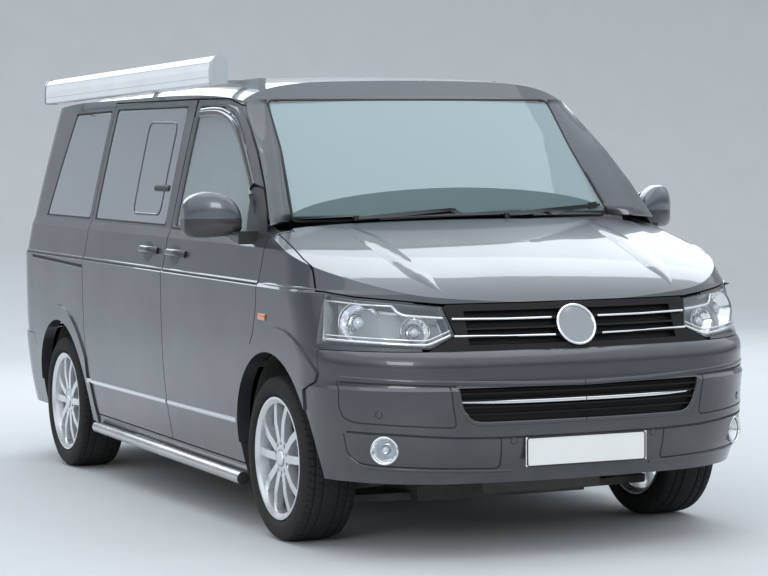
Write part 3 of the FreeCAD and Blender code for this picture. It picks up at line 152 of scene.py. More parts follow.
def full_turn(count):
    """Angles evenly spaced once round."""
    return np.linspace(0, 2 * math.pi, count, endpoint=False)


def signed_power(value, exponent):
    """Sign x size to a power: under 1 it squares a circle's corners."""
    return np.sign(value) * np.abs(value) ** exponent


def from_ends(count, size):
    """Distance of each of count stations, spread over size metres, from the nearer end."""
    return np.minimum(np.arange(count), np.arange(count)[::-1]) * size / count


def resample(path, count):
    """Points evenly spaced along a polyline."""
    path = np.asarray(path, float)
    step = np.r_[0, np.cumsum(np.linalg.norm(np.diff(path, axis=0), axis=1))]
    where = np.linspace(0, step[-1], count)
    return np.stack([np.interp(where, step, path[:, k]) for k in range(path.shape[1])], -1)


def rounded(path, radius, closed=False, arc=6):
    """A 2-D polyline with its corners rounded: each corner becomes a short quadratic arc."""
    path = np.asarray(path, float)
    n = len(path)
    out = []
    for i in range(n):
        if not closed and i in (0, n - 1):
            out.append(path[i])
            continue
        before, here, after = path[i - 1], path[i], path[(i + 1) % n]
        reach = min(radius, 0.45 * np.linalg.norm(before - here), 0.45 * np.linalg.norm(after - here))
        a = here + (before - here) / np.linalg.norm(before - here) * reach
        b = here + (after - here) / np.linalg.norm(after - here) * reach
        t = np.linspace(0, 1, arc)[:, None]
        out.extend((1 - t) ** 2 * a + 2 * t * (1 - t) * here + t ** 2 * b)
    return np.array(out)

# %% Profiles carried along paths
def swept(name, path, out, profile, material, body, closed=False, angle=35, grow=None):
    """A profile (across, outwards) carried along a path whose surface normals are out; grow scales it there."""
    path, out = np.asarray(path, float), unit(np.asarray(out, float))
    if closed:
        along = unit(np.roll(path, -1, 0) - np.roll(path, 1, 0))
    else:
        along = unit(np.gradient(path, axis=0))
    side = unit(np.cross(along, out))
    out = unit(np.cross(side, along))
    profile = np.asarray(profile, float)
    grow = np.ones(len(path)) if grow is None else np.asarray(grow)
    grid = (path[:, None, :] + (side * grow[:, None])[:, None, :] * profile[None, :, 0, None]
            + (out * grow[:, None])[:, None, :] * profile[None, :, 1, None])
    return grid_piece(name, grid, material, body, wrap_rows=closed, wrap_columns=True,
                      caps=not closed, angle=angle)


def bar_profile(wide, high, sink=0.002, steps=8):
    """A low rounded bar: half an ellipse that starts a little below the surface."""
    t = np.linspace(0, math.pi, steps)
    top = np.stack([wide / 2 * np.cos(t), high * np.sin(t) ** 0.8], -1)
    return np.vstack([top, [[-wide / 2, -sink], [wide / 2, -sink]]])


# %% [markdown]
# ## Laying trim on the body
# A strip or a seal follows the bodywork, so its path is drawn flat, as in a side or a front view, and then
# dropped onto the solids with rays. The ray also gives the surface's own direction at each station.

# %% Rays onto the solids
def stem(name):
    """A node's name without its side and end, as in tyre for tyre_front_left."""
    for tail in ("_left", "_right", "_front", "_rear"):
        name = name.removesuffix(tail)
    return name


def node_points(name):
    """A CAD node's corners as one array."""
    mesh = NODES[name].data
    co = np.empty(len(mesh.vertices) * 3)
    mesh.vertices.foreach_get("co", co)
    return co.reshape(-1, 3)


def node_tree(*names):
    """One search tree over the triangles of several CAD nodes."""
    points, polygons, start = [], [], 0
    for name in names:
        mesh = NODES[name].data
        mesh.calc_loop_triangles()
        corners = np.empty(len(mesh.loop_triangles) * 3, np.int32)
        mesh.loop_triangles.foreach_get("vertices", corners)
        points.append(node_points(name))
        polygons.append(corners.reshape(-1, 3) + start)
        start += len(mesh.vertices)
    return BVHTree.FromPolygons(np.vstack(points).tolist(), np.vstack(polygons).tolist())


SKIN = ("body_shell front_wing front_bumper front_door sliding_door bonnet tailgate rear_bumper upper_grille "
        "lower_grille headlamp windscreen sliding_door_glass rear_side_glass front_door_glass tailgate_glass "
        "tail_lamps").split()
skin_tree = node_tree(*(name for name in NODES if stem(name) in SKIN))


def dropped(starts, direction, tree=None):
    """Where rays from starts along one direction meet the solids, with the surface normals."""
    tree = tree or skin_tree
    aim = Vector(direction).normalized()
    found, normals, met = [], [], []
    for start in starts:
        place, normal, _, _ = tree.ray_cast(Vector(start), aim)
        met.append(place is not None)
        if place is None:
            place, normal = Vector(start), -aim
        found.append(tuple(place))
        normals.append(tuple(-normal if normal.dot(aim) > 0 else normal))
    found, normals, met = np.array(found), np.array(normals), np.array(met)
    if met.any() and not met.all():
        hits = np.flatnonzero(met)
        near = hits[np.abs(np.arange(len(met))[:, None] - hits).argmin(1)]
        way = np.array(aim)
        depth = (found[near] - np.asarray(starts, float)) @ way
        found = np.where(met[:, None], found, np.asarray(starts, float) + depth[:, None] * way)
        normals = normals[near]
    return found, normals


def steadied(normals, turns=6, closed=False):
    """Normals evened out along a path, so that a strip doesn't twist at a panel's edge."""
    for _ in range(turns):
        if closed:
            normals = unit(np.roll(normals, 1, 0) + 2 * normals + np.roll(normals, -1, 0))
        else:
            padded = np.vstack([normals[:1], normals, normals[-1:]])
            normals = unit(padded[:-2] + 2 * padded[1:-1] + padded[2:])
    return normals

# %% Drops in the three views
FAR_SIDE, FAR_END = 3.0, 4.0


def on_side(xz, side, tree=None):
    """Side-view points (x, z) of the body frame dropped onto the flank; side is -1 right or 1 left."""
    xz = np.asarray(xz, float)
    starts = stand(np.stack([xz[:, 0], np.full(len(xz), side * FAR_SIDE), xz[:, 1]], -1))
    return dropped(starts, (0, -side, 0), tree)


def on_front(yz, tree=None, back=False):
    """Front-view points (y, z) of the body frame dropped onto the nose, or onto the tail if back."""
    yz = np.asarray(yz, float)
    end = -1 if back else 1
    starts = stand(np.stack([np.full(len(yz), end * FAR_END), yz[:, 0], yz[:, 1]], -1))
    return dropped(starts, -stood([end, 0, 0]), tree)


def on_top(xy, tree=None):
    """Plan points (x, y) of the body frame dropped onto the bonnet or the roof."""
    xy = np.asarray(xy, float)
    starts = stand(np.stack([xy[:, 0], xy[:, 1], np.full(len(xy), FAR_SIDE)], -1))
    return dropped(starts, -stood([0, 0, 1]), tree)


def flank(side, *names):
    """on_side as a drop of its own, onto the named nodes or the whole skin."""
    tree = node_tree(*names) if names else None
    return lambda xz: on_side(xz, side, tree)


def nose(*names, back=False):
    """on_front as a drop of its own, onto the named nodes."""
    tree = node_tree(*names)
    return lambda yz: on_front(yz, tree, back)


def level(node, side=0):
    """A drop for points of the ground frame: along Y from one side, or along X from behind if side is 0."""
    tree = node_tree(node)

    def drop(flat):
        far = np.full(len(flat), side * FAR_SIDE if side else -FAR_END)
        columns = [flat[:, 0], far, flat[:, 1]] if side else [far, flat[:, 0], flat[:, 1]]
        return dropped(np.stack(columns, -1), (0, -side, 0) if side else (1, 0, 0), tree)
    return drop


# %% [markdown]
# ## Finishes
# Every finish is a node material. The effects that several of them share are small node groups that give
# only a colour, a mask, a value or a height: a fine speckle for metal flake and moulded grain, and a film of
# dust that settles low down. The shader itself stays in each material.

# %% Node group: grain
def new_group(name, inputs, outputs):
    """An empty shader node group with named sockets."""
    group = bpy.data.node_groups.new(name, "ShaderNodeTree")
    for label, kind, value in inputs:
        socket = group.interface.new_socket(label, in_out="INPUT", socket_type=kind)
        if value is not None:
            socket.default_value = value
    for label, kind in outputs:
        group.interface.new_socket(label, in_out="OUTPUT", socket_type=kind)
    return group, group.nodes.new("NodeGroupInput"), group.nodes.new("NodeGroupOutput")


def grain_group():
    """Two noises of different size, mixed: fine grain for the height, broad cloud for the colour."""
    group, given, result = new_group("grain", [
        ("Vector", "NodeSocketVector", None), ("Fine", "NodeSocketFloat", 900.0),
        ("Broad", "NodeSocketFloat", 3.0), ("Detail", "NodeSocketFloat", 3.0)],
        [("Height", "NodeSocketFloat"), ("Cloud", "NodeSocketFloat")])
    fine = group.nodes.new("ShaderNodeTexNoise")
    broad = group.nodes.new("ShaderNodeTexNoise")
    links = group.links
    for noise, scale in ((fine, "Fine"), (broad, "Broad")):
        links.new(given.outputs["Vector"], noise.inputs["Vector"])
        links.new(given.outputs[scale], noise.inputs["Scale"])
        links.new(given.outputs["Detail"], noise.inputs["Detail"])
    links.new(fine.outputs["Fac"], result.inputs["Height"])
    links.new(broad.outputs["Fac"], result.inputs["Cloud"])
    return group


GRAIN = grain_group()


# %% Node group: road dust
def dust_group():
    """Mask = (1 at the ground, fading to 0 at Reach) x noise x Amount."""
    group, given, result = new_group("road_dust", [
        ("Vector", "NodeSocketVector", None), ("Reach", "NodeSocketFloat", 0.6),
        ("Amount", "NodeSocketFloat", 0.5)], [("Mask", "NodeSocketFloat")])
    split, fade, noise, broken, amount = (group.nodes.new("ShaderNode" + kind) for kind in (
        "SeparateXYZ", "MapRange", "TexNoise", "Math", "Math"))
    for node, label, value in ((fade, "From Min", 0.0), (fade, "To Min", 1.0), (fade, "To Max", 0.0),
                               (noise, "Scale", 7.0), (noise, "Detail", 6.0)):
        node.inputs[label].default_value = value
    broken.operation = amount.operation = "MULTIPLY"
    for start, end in ((given.outputs["Vector"], split.inputs["Vector"]),
                       (given.outputs["Vector"], noise.inputs["Vector"]),
                       (given.outputs["Reach"], fade.inputs["From Max"]),
                       (split.outputs["Z"], fade.inputs["Value"]),
                       (fade.outputs["Result"], broken.inputs[0]), (noise.outputs["Fac"], broken.inputs[1]),
                       (broken.outputs[0], amount.inputs[0]), (given.outputs["Amount"], amount.inputs[1]),
                       (amount.outputs[0], result.inputs["Mask"])):
        group.links.new(start, end)
    return group


DUST = dust_group()


# %% Material builder
class Finish:
    """A material with its Principled shader, its Object coordinates and short ways to add nodes."""

    def __init__(self, name, color, metallic=0.0, roughness=0.5, **sockets):
        self.material = bpy.data.materials.new(name)
        self.material.use_nodes = True
        self.nodes = self.material.node_tree.nodes
        self.links = self.material.node_tree.links
        self.shader = self.nodes["Principled BSDF"]
        self.filled(self.shader, Base_Color=(*color, 1), Metallic=metallic, Roughness=roughness, **sockets)
        self.place = self.nodes.new("ShaderNodeTexCoord").outputs["Object"]
        self.color = color

    def filled(self, node, **values):
        """Constant numbers on a node's own sockets; _ stands for a space in a socket's name."""
        for label, value in values.items():
            node.inputs[label.replace("_", " ")].default_value = value
        return node

    def placed(self, kind, **values):
        """A node of this kind that reads the piece's own coordinates."""
        node = self.nodes.new("ShaderNode" + kind)
        self.links.new(self.place, node.inputs["Vector"])
        return self.filled(node, **values)

    def axis(self, label):
        """The piece's own X, Y or Z."""
        return self.placed("SeparateXYZ").outputs[label]

    def group(self, group, **values):
        """A shared effect with its own values."""
        node = self.nodes.new("ShaderNodeGroup")
        node.node_tree = group
        self.links.new(self.place, node.inputs["Vector"])
        return self.filled(node, **values)

    def math(self, operation, *values, clamp=False):
        """One sum; each value is a number or a socket."""
        node = self.nodes.new("ShaderNodeMath")
        node.operation = operation
        node.use_clamp = clamp
        for socket, value in zip(node.inputs, values):
            if isinstance(value, (int, float)):
                socket.default_value = value
            else:
                self.links.new(value, socket)
        return node.outputs[0]

    def map(self, value, low, high, to_low=0.0, to_high=1.0):
        """A value's range low-high stretched to to_low-to_high, and held there."""
        node = self.filled(self.nodes.new("ShaderNodeMapRange"), From_Min=low, From_Max=high, To_Min=to_low,
                           To_Max=to_high)
        self.links.new(value, node.inputs["Value"])
        return node.outputs["Result"]

    def cloud(self, grain, low=0.0, high=1.0):
        """The grain's broad cloud, stretched to run from low to high."""
        return self.map(grain.outputs["Cloud"], 0.3, 0.7, low, high)

    def mixed(self, factor, first, second):
        """First x (1 - factor) + second x factor; each is a colour or a socket."""
        node = self.nodes.new("ShaderNodeMix")
        node.data_type = "RGBA"
        node.clamp_factor = True
        self.links.new(factor, node.inputs["Factor"])
        for socket, value in ((node.inputs[6], first), (node.inputs[7], second)):
            if isinstance(value, tuple):
                socket.default_value = (*value, 1)
            else:
                self.links.new(value, socket)
        return node.outputs[2]

    def set(self, label, value):
        """A socket onto the shader."""
        self.links.new(value, self.shader.inputs[label])
        return self

    def bump(self, height, strength=0.2, distance=0.001):
        """Height to the shader's normal."""
        node = self.filled(self.nodes.new("ShaderNodeBump"), Strength=strength, Distance=distance)
        self.links.new(height, node.inputs["Height"])
        return self.set("Normal", node.outputs["Normal"])

    def grained(self, fine, strength, shade, rough, broad, distance):
        """Grain in the height, a faint cloud in the colour and in the roughness."""
        grain = self.group(GRAIN, Fine=fine, Broad=broad)
        self.bump(grain.outputs["Height"], strength, distance)
        dark = tuple(c * (1 - shade) for c in self.color)
        light = tuple(min(1.0, c * (1 + shade)) for c in self.color)
        self.set("Base Color", self.mixed(self.cloud(grain), dark, light))
        base = self.shader.inputs["Roughness"].default_value
        return self.set("Roughness", self.cloud(grain, max(0.02, base - rough), base + rough))

    def dusted(self, reach, amount, color=(0.25, 0.235, 0.21)):
        """Dust mixed over the base colour, more of it low down."""
        mask = self.group(DUST, Reach=reach, Amount=amount).outputs["Mask"]
        first = self.shader.inputs["Base Color"].links[0].from_socket
        return self.set("Base Color", self.mixed(mask, first, color))


def plain(name, color, roughness, fine=900.0, strength=0.15, shade=0.12, rough=0.08, broad=3.0,
          distance=0.0005, dust=None, **shader):
    """A finish with grain all over, and with dust where dust gives its reach and amount."""
    finish = Finish(name, color, roughness=roughness, **shader)
    finish.grained(fine, strength, shade, rough, broad, distance)
    return (finish.dusted(*dust) if dust else finish).material


# %% [markdown]
# ### Body paint
# The van is mid-grey metallic: aluminium flake under clear lacquer. The flake is a dense Voronoi pattern that
# tips the base colour a little lighter and darker, the lacquer is the shader's own coat, and the base is only
# partly metallic, so that the sides stay dark while the bonnet takes up the bright ceiling of the studio.

# %% Body paint
def body_paint(color=(0.050, 0.056, 0.066)):
    """Flake tips the base colour lighter or darker by the Voronoi distance; the coat is the lacquer."""
    finish = Finish("body_paint", color, metallic=0.50, roughness=0.32, Coat_Weight=0.80, Coat_Roughness=0.03)
    flake = finish.placed("TexVoronoi", Scale=1600.0)
    tone = finish.math("MULTIPLY", flake.outputs["Distance"], 1.6, clamp=True)
    dark, light = (tuple(c * share for c in color) for share in (0.86, 1.16))
    finish.set("Base Color", finish.mixed(tone, light, dark))
    finish.set("Roughness", finish.cloud(finish.group(GRAIN, Fine=55.0, Broad=2.0), 0.30, 0.38))
    return finish.dusted(0.9, 0.35).material


# %% Trim finishes
paint = body_paint()
paint_dark = plain("seam_shadow", (0.012, 0.012, 0.013), 0.7, shade=0.2)
black_trim = plain("black_trim", (0.018, 0.018, 0.019), 0.42, 1400, 0.25)
gloss_black = plain("gloss_black", (0.012, 0.013, 0.015), 0.12, 60, 0.01, 0.05, 0.03, Coat_Weight=0.6)
chrome = plain("chrome", (0.82, 0.83, 0.84), 0.09, 120, 0.01, 0.03, 0.03, metallic=1.0)
brushed = plain("brushed_steel", (0.62, 0.62, 0.62), 0.24, 420, 0.06, 0.06, 0.06, metallic=1.0, dust=(0.5, 0.3))
mesh_black = plain("mesh_black", (0.006, 0.006, 0.007), 0.55, 500, 0.2, Specular_IOR_Level=0.25)
rubber = plain("rubber_seal", (0.012, 0.012, 0.012), 0.62, 700, 0.2)
plate_face = plain("plate_face", (0.80, 0.80, 0.79), 0.35, 1100, 0.06, 0.03, dust=(0.8, 0.12), Coat_Weight=0.4)
running = plain("running_gear", (0.035, 0.035, 0.036), 0.65, 180, 0.35, 0.25, dust=(0.9, 0.7))
underseal = plain("underseal", (0.022, 0.022, 0.023), 0.85, 140, 0.6, 0.25, distance=0.001, dust=(0.9, 0.6))
awning_grey = plain("awning_cap_grey", (0.50, 0.53, 0.55), 0.42, 900, 0.1, 0.05)
anodised = plain("anodised_rail", (0.45, 0.46, 0.47), 0.36, 500, 0.05, 0.05, metallic=0.9)
cabin_plastic = plain("cabin_plastic", (0.045, 0.046, 0.05), 0.6, 650, 0.45, 0.1)
board = plain("cabinet_board", (0.42, 0.36, 0.29), 0.45, 40, 0.05, 0.18, broad=1.5)
# Silver lacquer over cast alloy, with brake dust low on the rim.
alloy = plain("wheel_silver", (0.74, 0.75, 0.77), 0.30, 700, 0.03, 0.05, 0.05, metallic=0.80, Coat_Weight=0.8,
              Coat_Roughness=0.06, dust=(0.62, 0.18, (0.20, 0.19, 0.18)))

# %% [markdown]
# ### Glass
# Car glass is thin and clear, so light goes nearly straight through a real pane. A Principled shader with
# full transmission bends light as a solid block would, so each pane here is a thin film: alpha lets the view
# through and a smooth coat gives the reflection. The windscreen is pale green with a black printed border,
# the rear side panes are dark grey.

# %% Glass finishes
SCREEN_GREEN, SCREEN_ALPHA = (0.22, 0.31, 0.33), 0.80


def glass_finish(name, color, alpha, roughness=0.03, metallic=0.0):
    """A film: its alpha wanders by 0.02 either way with the cloud, which also bends the coat a little."""
    finish = Finish(name, color, metallic=metallic, roughness=roughness, Coat_Weight=1.0, Coat_Roughness=0.02)
    grain = finish.group(GRAIN, Fine=30.0, Broad=1.5)
    finish.set("Alpha", finish.cloud(grain, alpha - 0.02, alpha + 0.02))
    return finish.bump(grain.outputs["Cloud"], 0.02, 0.002)


def screen_finish():
    """Pale green laminated glass with a black border that fades out at its inner edge.

    The border's mask is the smallest distance to the pane's edges in the front view."""
    finish = glass_finish("screen_glass", SCREEN_GREEN, SCREEN_ALPHA)
    y, z = finish.math("ABSOLUTE", finish.axis("Y")), finish.axis("Z")
    low = finish.math("SUBTRACT", z, 1.286)
    high = finish.math("SUBTRACT", finish.math("SUBTRACT", 1.803, z), finish.math("MULTIPLY", y, 0.03))
    lean = finish.math("SUBTRACT", 0.7835, finish.math("MULTIPLY", finish.math("SUBTRACT", z, 1.28), 0.222))
    side = finish.math("SUBTRACT", lean, y)
    edge = finish.math("MINIMUM", finish.math("MINIMUM", low, high), side)
    band = finish.map(edge, 0.006, 0.014, 1.0, 0.0)
    finish.set("Base Color", finish.mixed(band, SCREEN_GREEN, (0.015, 0.016, 0.018)))
    finish.set("Alpha", finish.map(band, 0.0, 1.0, SCREEN_ALPHA, 0.97))
    return finish.material


door_glass = glass_finish("door_glass", (0.34, 0.41, 0.42), 0.60).material
privacy = glass_finish("privacy_glass", (0.42, 0.44, 0.47), 0.95, metallic=0.8).material
lens_clear = glass_finish("lens_clear", (0.62, 0.66, 0.68), 0.12).material
lens_red = plain("lens_red", (0.42, 0.012, 0.014), 0.12, 160, 0.15, 0.2, 0.03, Coat_Weight=1.0)
screen_glass = screen_finish()
print("materials", len(bpy.data.materials))

# %% [markdown]
# ### Which node takes which finish
# Each CAD node keeps its mesh and gets one material. The mirrors, the awning case and the tail lamps wait for
# finishes of their own.

# %% Dress the CAD nodes
def dress(name, material):
    """One material on a CAD node's own mesh."""
    NODES[name].data.materials.clear()
    NODES[name].data.materials.append(material)


# Each finish and the nodes that wear it, by their names without side or end.
WEARERS = (
    (paint, "body_shell front_wing front_bumper sliding_door rear_bumper bonnet tailgate front_door"),
    (underseal, "underbody"), (mesh_black, "upper_grille lower_grille"), (lens_clear, "headlamp fog_lamps"),
    (plate_face, "front_plate rear_plate"), (screen_glass, "windscreen"), (door_glass, "front_door_glass"),
    (privacy, "sliding_door_glass rear_side_glass tailgate_glass"), (anodised, "awning_rail roof_rail"),
    (brushed, "side_tubes exhaust"), (black_trim, "wipers"), (board, "cabinet"), (rubber, "tyre"), (alloy, "rim"),
    (cabin_plastic, "dashboard steering_wheel front_seats rear_bench"),
    (running, "engine_block front_suspension rear_axle knuckle"))
FINISH_OF = {kind: material for material, kinds in WEARERS for kind in kinds.split()}
for name in NODES:
    if stem(name) in FINISH_OF:
        dress(name, FINISH_OF[stem(name)])
print("dressed", sum(stem(name) in FINISH_OF for name in NODES), "nodes")

# %% [markdown]
# ## Turned pieces and laid strips
# Lamp bowls, rings, caps and bolts are round about an axis, so a profile of radius against distance is
# carried once round it. Chrome lines, seams and ridges lie along the bodywork, so their paths are drawn flat
# and dropped onto the solids. Both kinds close on themselves and show no open edge.

# %% Turned pieces
def turned(name, centre, axis, profile, material, body, steps=64, loop=False, angle=35):
    """Each (radius, distance along the axis) of the profile goes once round the axis."""
    axis = unit(np.asarray(axis, float))
    helper = np.array([0.0, 0.0, 1.0]) if abs(axis[2]) < 0.9 else np.array([1.0, 0.0, 0.0])
    first = unit(np.cross(axis, helper))
    second = np.cross(axis, first)
    t = full_turn(steps)[:, None]
    ring = np.cos(t) * first + np.sin(t) * second
    profile = np.asarray(profile, float)
    grid = (np.asarray(centre) + ring[:, None, :] * profile[None, :, 0, None]
            + axis * profile[None, :, 1, None])
    return grid_piece(name, grid, material, body, wrap_rows=True, wrap_columns=loop, angle=angle)


def ring_profile(radius, thick, high, steps=12):
    """A flattened ring section: an ellipse of half widths thick and high about the radius."""
    t = full_turn(steps)
    return np.stack([radius + thick * np.cos(t), high * np.sin(t)], -1)


def bowl_profile(radius, deep, wall=0.004, steps=14):
    """A paraboloid's inside from its pole to its rim, then back down the outside."""
    r = np.linspace(0, radius, steps)
    inside = np.stack([r, -deep * (1 - (r / radius) ** 2)], -1)
    rim = [[radius + wall * 0.5, wall * 0.4], [radius + wall, 0.0]]
    outside = inside[::-1] + [[wall, -wall]]
    outside[-1, 0] = 0.0
    return np.vstack([inside, rim, outside])


# %% Laid strips
def flat_profile(wide, high=0.0006, sink=0.002):
    """A shallow band with square edges, for seams and dark lines."""
    w = wide / 2
    return np.array([[w, -sink], [w, high * 0.6], [w * 0.8, high], [-w * 0.8, high], [-w, high * 0.6], [-w, -sink]])


def laid(name, path, drop, profile, material, body, closed=False, radius=0.02, steps=64, depth=0.0,
         calm=6, angle=40, taper=False):
    """A flat path, rounded and evenly spaced, dropped onto the solids and swept with a profile."""
    path = rounded(path, radius, closed)
    if closed:
        path = resample(np.vstack([path, path[:1]]), steps + 1)[:-1]
    else:
        path = resample(path, steps)
    found, normals = drop(path)
    normals = steadied(normals, calm, closed)
    ends = np.minimum(np.arange(steps), np.arange(steps)[::-1]) / (0.2 * steps)
    grow = 0.02 + 0.98 * np.clip(ends, 0, 1) if taper else None
    return swept(name, found - normals * depth, normals, profile, material, body, closed=closed, angle=angle,
                 grow=grow)


# %% [markdown]
# ## Headlamps
# Behind each clear cover sits a silver-grey housing with two bright reflector bowls, a chrome brow above them
# and a double chrome line along the foot. The cover is the CAD solid, nearly clear. The housing is the
# cover's own surface pushed inwards, deep in the middle and shallow at the rim, so it keeps the lamp's line.

# %% Lamp finishes
housing_grey = plain("lamp_housing", (0.20, 0.215, 0.23), 0.30, 260, 0.05, metallic=0.75)
bulb_glass = plain("bulb_glass", (0.55, 0.62, 0.68), 0.05, 90, 0.03, 0.1, 0.02, metallic=0.3, Coat_Weight=1.0)
reflector = plain("reflector_bowl", (0.93, 0.94, 0.95), 0.05, 38, 0.55, 0.04, 0.02, 12, 0.004, metallic=1.0)
dark_chrome = plain("dark_chrome", (0.30, 0.31, 0.33), 0.16, 150, 0.03, 0.1, 0.05, metallic=1.0)


# %% Lamp housing
def ruled(low, high, columns):
    """Point = low x (1 - share) + high x share, for two lines of equally many points."""
    share = np.linspace(0, 1, columns)[None, :, None]
    return low[:, None, :] * (1 - share) + high[:, None, :] * share


def spread(low, high, rows, columns):
    """Points ruled between two flat outlines, each first spaced evenly over the rows."""
    return ruled(resample(low, rows), resample(high, rows), columns)


LAMP_LOW = [(0.914, 0.868), (0.599, 0.852), (0.510, 0.894)]
LAMP_HIGH = [(0.893, 1.040), (0.816, 1.026), (0.705, 1.016), (0.535, 0.997)]
LAMP_WIDE, LAMP_TALL, LAMP_WALL = 0.42, 0.15, 0.004


def lamp_housing(side, label):
    """Depth behind the cover = 5 mm + 52 mm x smooth(distance to the rim / 20 mm)."""
    rows, columns = 72, 26
    flat = spread(mirrored(LAMP_LOW, side), mirrored(LAMP_HIGH, side), rows, columns)
    tree = node_tree("headlamp_" + label)
    found, normals = (a.reshape(rows, columns, 3) for a in on_front(flat.reshape(-1, 2), tree))
    inwards = -steadied(unit(normals.mean(1)), 30)[:, None, :]
    rim = np.minimum(from_ends(rows, LAMP_WIDE)[:, None], from_ends(columns, LAMP_TALL)[None, :])
    near = np.clip(rim / 0.020, 0, 1)
    depth = (0.005 + 0.052 * near ** 2 * (3 - 2 * near))[..., None]
    points = np.vstack([(found + inwards * deep).reshape(-1, 3) for deep in (depth, depth + LAMP_WALL)])
    count = rows * columns
    faces = [*grid_faces(rows, columns), *(grid_faces(rows, columns, start=count)[:, ::-1])]
    edge = np.r_[np.arange(columns), np.arange(1, rows) * columns + columns - 1,
                 (rows - 1) * columns + np.arange(columns - 2, -1, -1), np.arange(rows - 2, 0, -1) * columns]
    turn = np.roll(edge, -1)
    faces += list(np.stack([edge, turn, turn + count, edge + count], -1))
    recalculated(mesh_piece("lamp_housing_" + label, points, faces, housing_grey, "root"))
    return tree


# %% Lamp bowls and chrome lines
def lamp_bowl(name, side, tree, y, z, radius, deep, back):
    """A bowl, its rim ring and a bulb, facing halfway between straight ahead and the cover's own way."""
    found, normals = on_front([(y * side, z)], tree)
    aim = unit(0.5 * normals[0] + 0.5 * stood([1, 0, 0]))
    centre = found[0] - normals[0] * back
    lens, seat = radius * 0.34, -deep * 0.55
    t = np.linspace(0, math.pi / 2, 10)
    bulb = np.vstack([np.stack([lens * np.sin(t), seat + lens * 0.8 * np.cos(t)], -1),
                      [[lens * 1.06, seat], [lens * 1.06, -deep * 0.9], [0.0, -deep * 0.9]]])
    for part, place, profile, material, steps, loop in (
            ("bowl", centre, bowl_profile(radius, deep), reflector, 72, False),
            ("rim", centre, ring_profile(radius + 0.003, 0.0045, 0.004), dark_chrome, 72, True),
            ("bulb", centre, bulb, bulb_glass, 40, False),
            ("bulb_ring", centre + aim * seat, ring_profile(lens * 1.12, 0.003, 0.004), dark_chrome, 40, True)):
        turned(f"{name}_{part}", place, aim, profile, material, "root", steps=steps, loop=loop)


# Name, path of the left lamp, the bar's width and height, its corners' radius and its depth behind the cover.
LAMP_LINES = (
    ("brow", [(0.706, 1.010), (0.690, 0.984), (0.665, 0.972), (0.528, 0.962)], (0.011, 0.006), 0.01, 0.014),
    ("brow_outer", [(0.893, 1.022), (0.800, 1.012), (0.706, 1.008)], (0.008, 0.005), 0.01, 0.014),
    ("foot_0", [(0.905, 0.876), (0.606, 0.861), (0.512, 0.897)], (0.010, 0.004), 0.02, 0.009),
    ("foot_1", [(0.905, 0.892), (0.606, 0.877), (0.512, 0.913)], (0.006, 0.004), 0.02, 0.009))
for side, label in SIDES:
    lamp_tree = lamp_housing(side, label)
    lamp_bowl("main_lamp_" + label, side, lamp_tree, 0.822, 0.950, 0.074, 0.050, 0.036)
    lamp_bowl("inner_lamp_" + label, side, lamp_tree, 0.638, 0.918, 0.053, 0.038, 0.032)
    for name, path, size, radius, depth in LAMP_LINES:
        laid(f"lamp_{name}_{label}", mirrored(path, side), nose("headlamp_" + label), bar_profile(*size), chrome,
             "root", radius=radius, depth=depth, calm=20)

# %% [markdown]
# ## Grille, badge disc and bumper trim
# Two chrome bars cross the dark grille and stop at a plain round disc in the middle. Lower down a third bar
# crosses the intake, each fog lamp wears a bright ring, and fine seams part the bumper's panels.

# %% Grille bars
def most_forward(yz, tree, reach=0.012):
    """The most forward of three drops, above, at and below each point, then a parabola through them all."""
    yz = np.asarray(yz, float)
    tries = [on_front(yz + [[0, dz]], tree) for dz in (-reach, 0, reach)]
    places = np.stack([t[0] for t in tries])
    best = places[..., 0].argmax(0)
    found = places[best, np.arange(len(yz))]
    found[:, 2] = places[1, :, 2]
    found[:, 0] = np.polyval(np.polyfit(yz[:, 0], found[:, 0], 2), yz[:, 0]) + 0.002
    normals = np.tile(stood([1, 0, 0]), (len(yz), 1))
    normals[:, 1] = 0.35 * yz[:, 0]
    return found, unit(normals)


GRILLE_BAR = [(0.100, 0.0), (0.300, 0.0), (0.502, 0.004)]
grille_tree = node_tree("upper_grille")
intake_tree = node_tree("lower_grille", "front_bumper")
for side, label in SIDES:
    for height, z in (("upper", 0.950), ("lower", 0.886)):
        laid(f"grille_bar_{height}_{label}", mirrored([(y, z + rise) for y, rise in GRILLE_BAR], side),
             lambda yz: most_forward(yz, grille_tree), bar_profile(0.010, 0.007, 0.004), chrome, "root", calm=10,
             steps=40)
    laid("intake_bar_" + label, mirrored([(0.002, 0.643), (0.300, 0.643), (0.498, 0.645)], side),
         lambda yz: most_forward(yz, intake_tree), bar_profile(0.013, 0.003, 0.004), chrome, "root", steps=40)

# %% Badge disc
BADGE_RADIUS, BADGE_TIP = 0.074, math.radians(23.5)
badge_way = stood([math.cos(BADGE_TIP), 0, math.sin(BADGE_TIP)])
badge_spot = on_front([(0.0, 0.921)], grille_tree)[0][0]
turned("badge_ring", badge_spot, badge_way, ring_profile(0.079, 0.006, 0.007), chrome, "root", steps=96, loop=True)
r = np.linspace(0, BADGE_RADIUS, 12)
dish = np.vstack([np.stack([r, 0.006 * (1 - (r / BADGE_RADIUS) ** 2) + 0.001], -1),
                  [[BADGE_RADIUS, -0.004], [0.0, -0.004]]])
turned("badge_disc", badge_spot, badge_way, dish, dark_chrome, "root", steps=96)

# %% Bumper seams and ridges
on_bumper = nose("front_bumper", "front_wing_left", "front_wing_right")
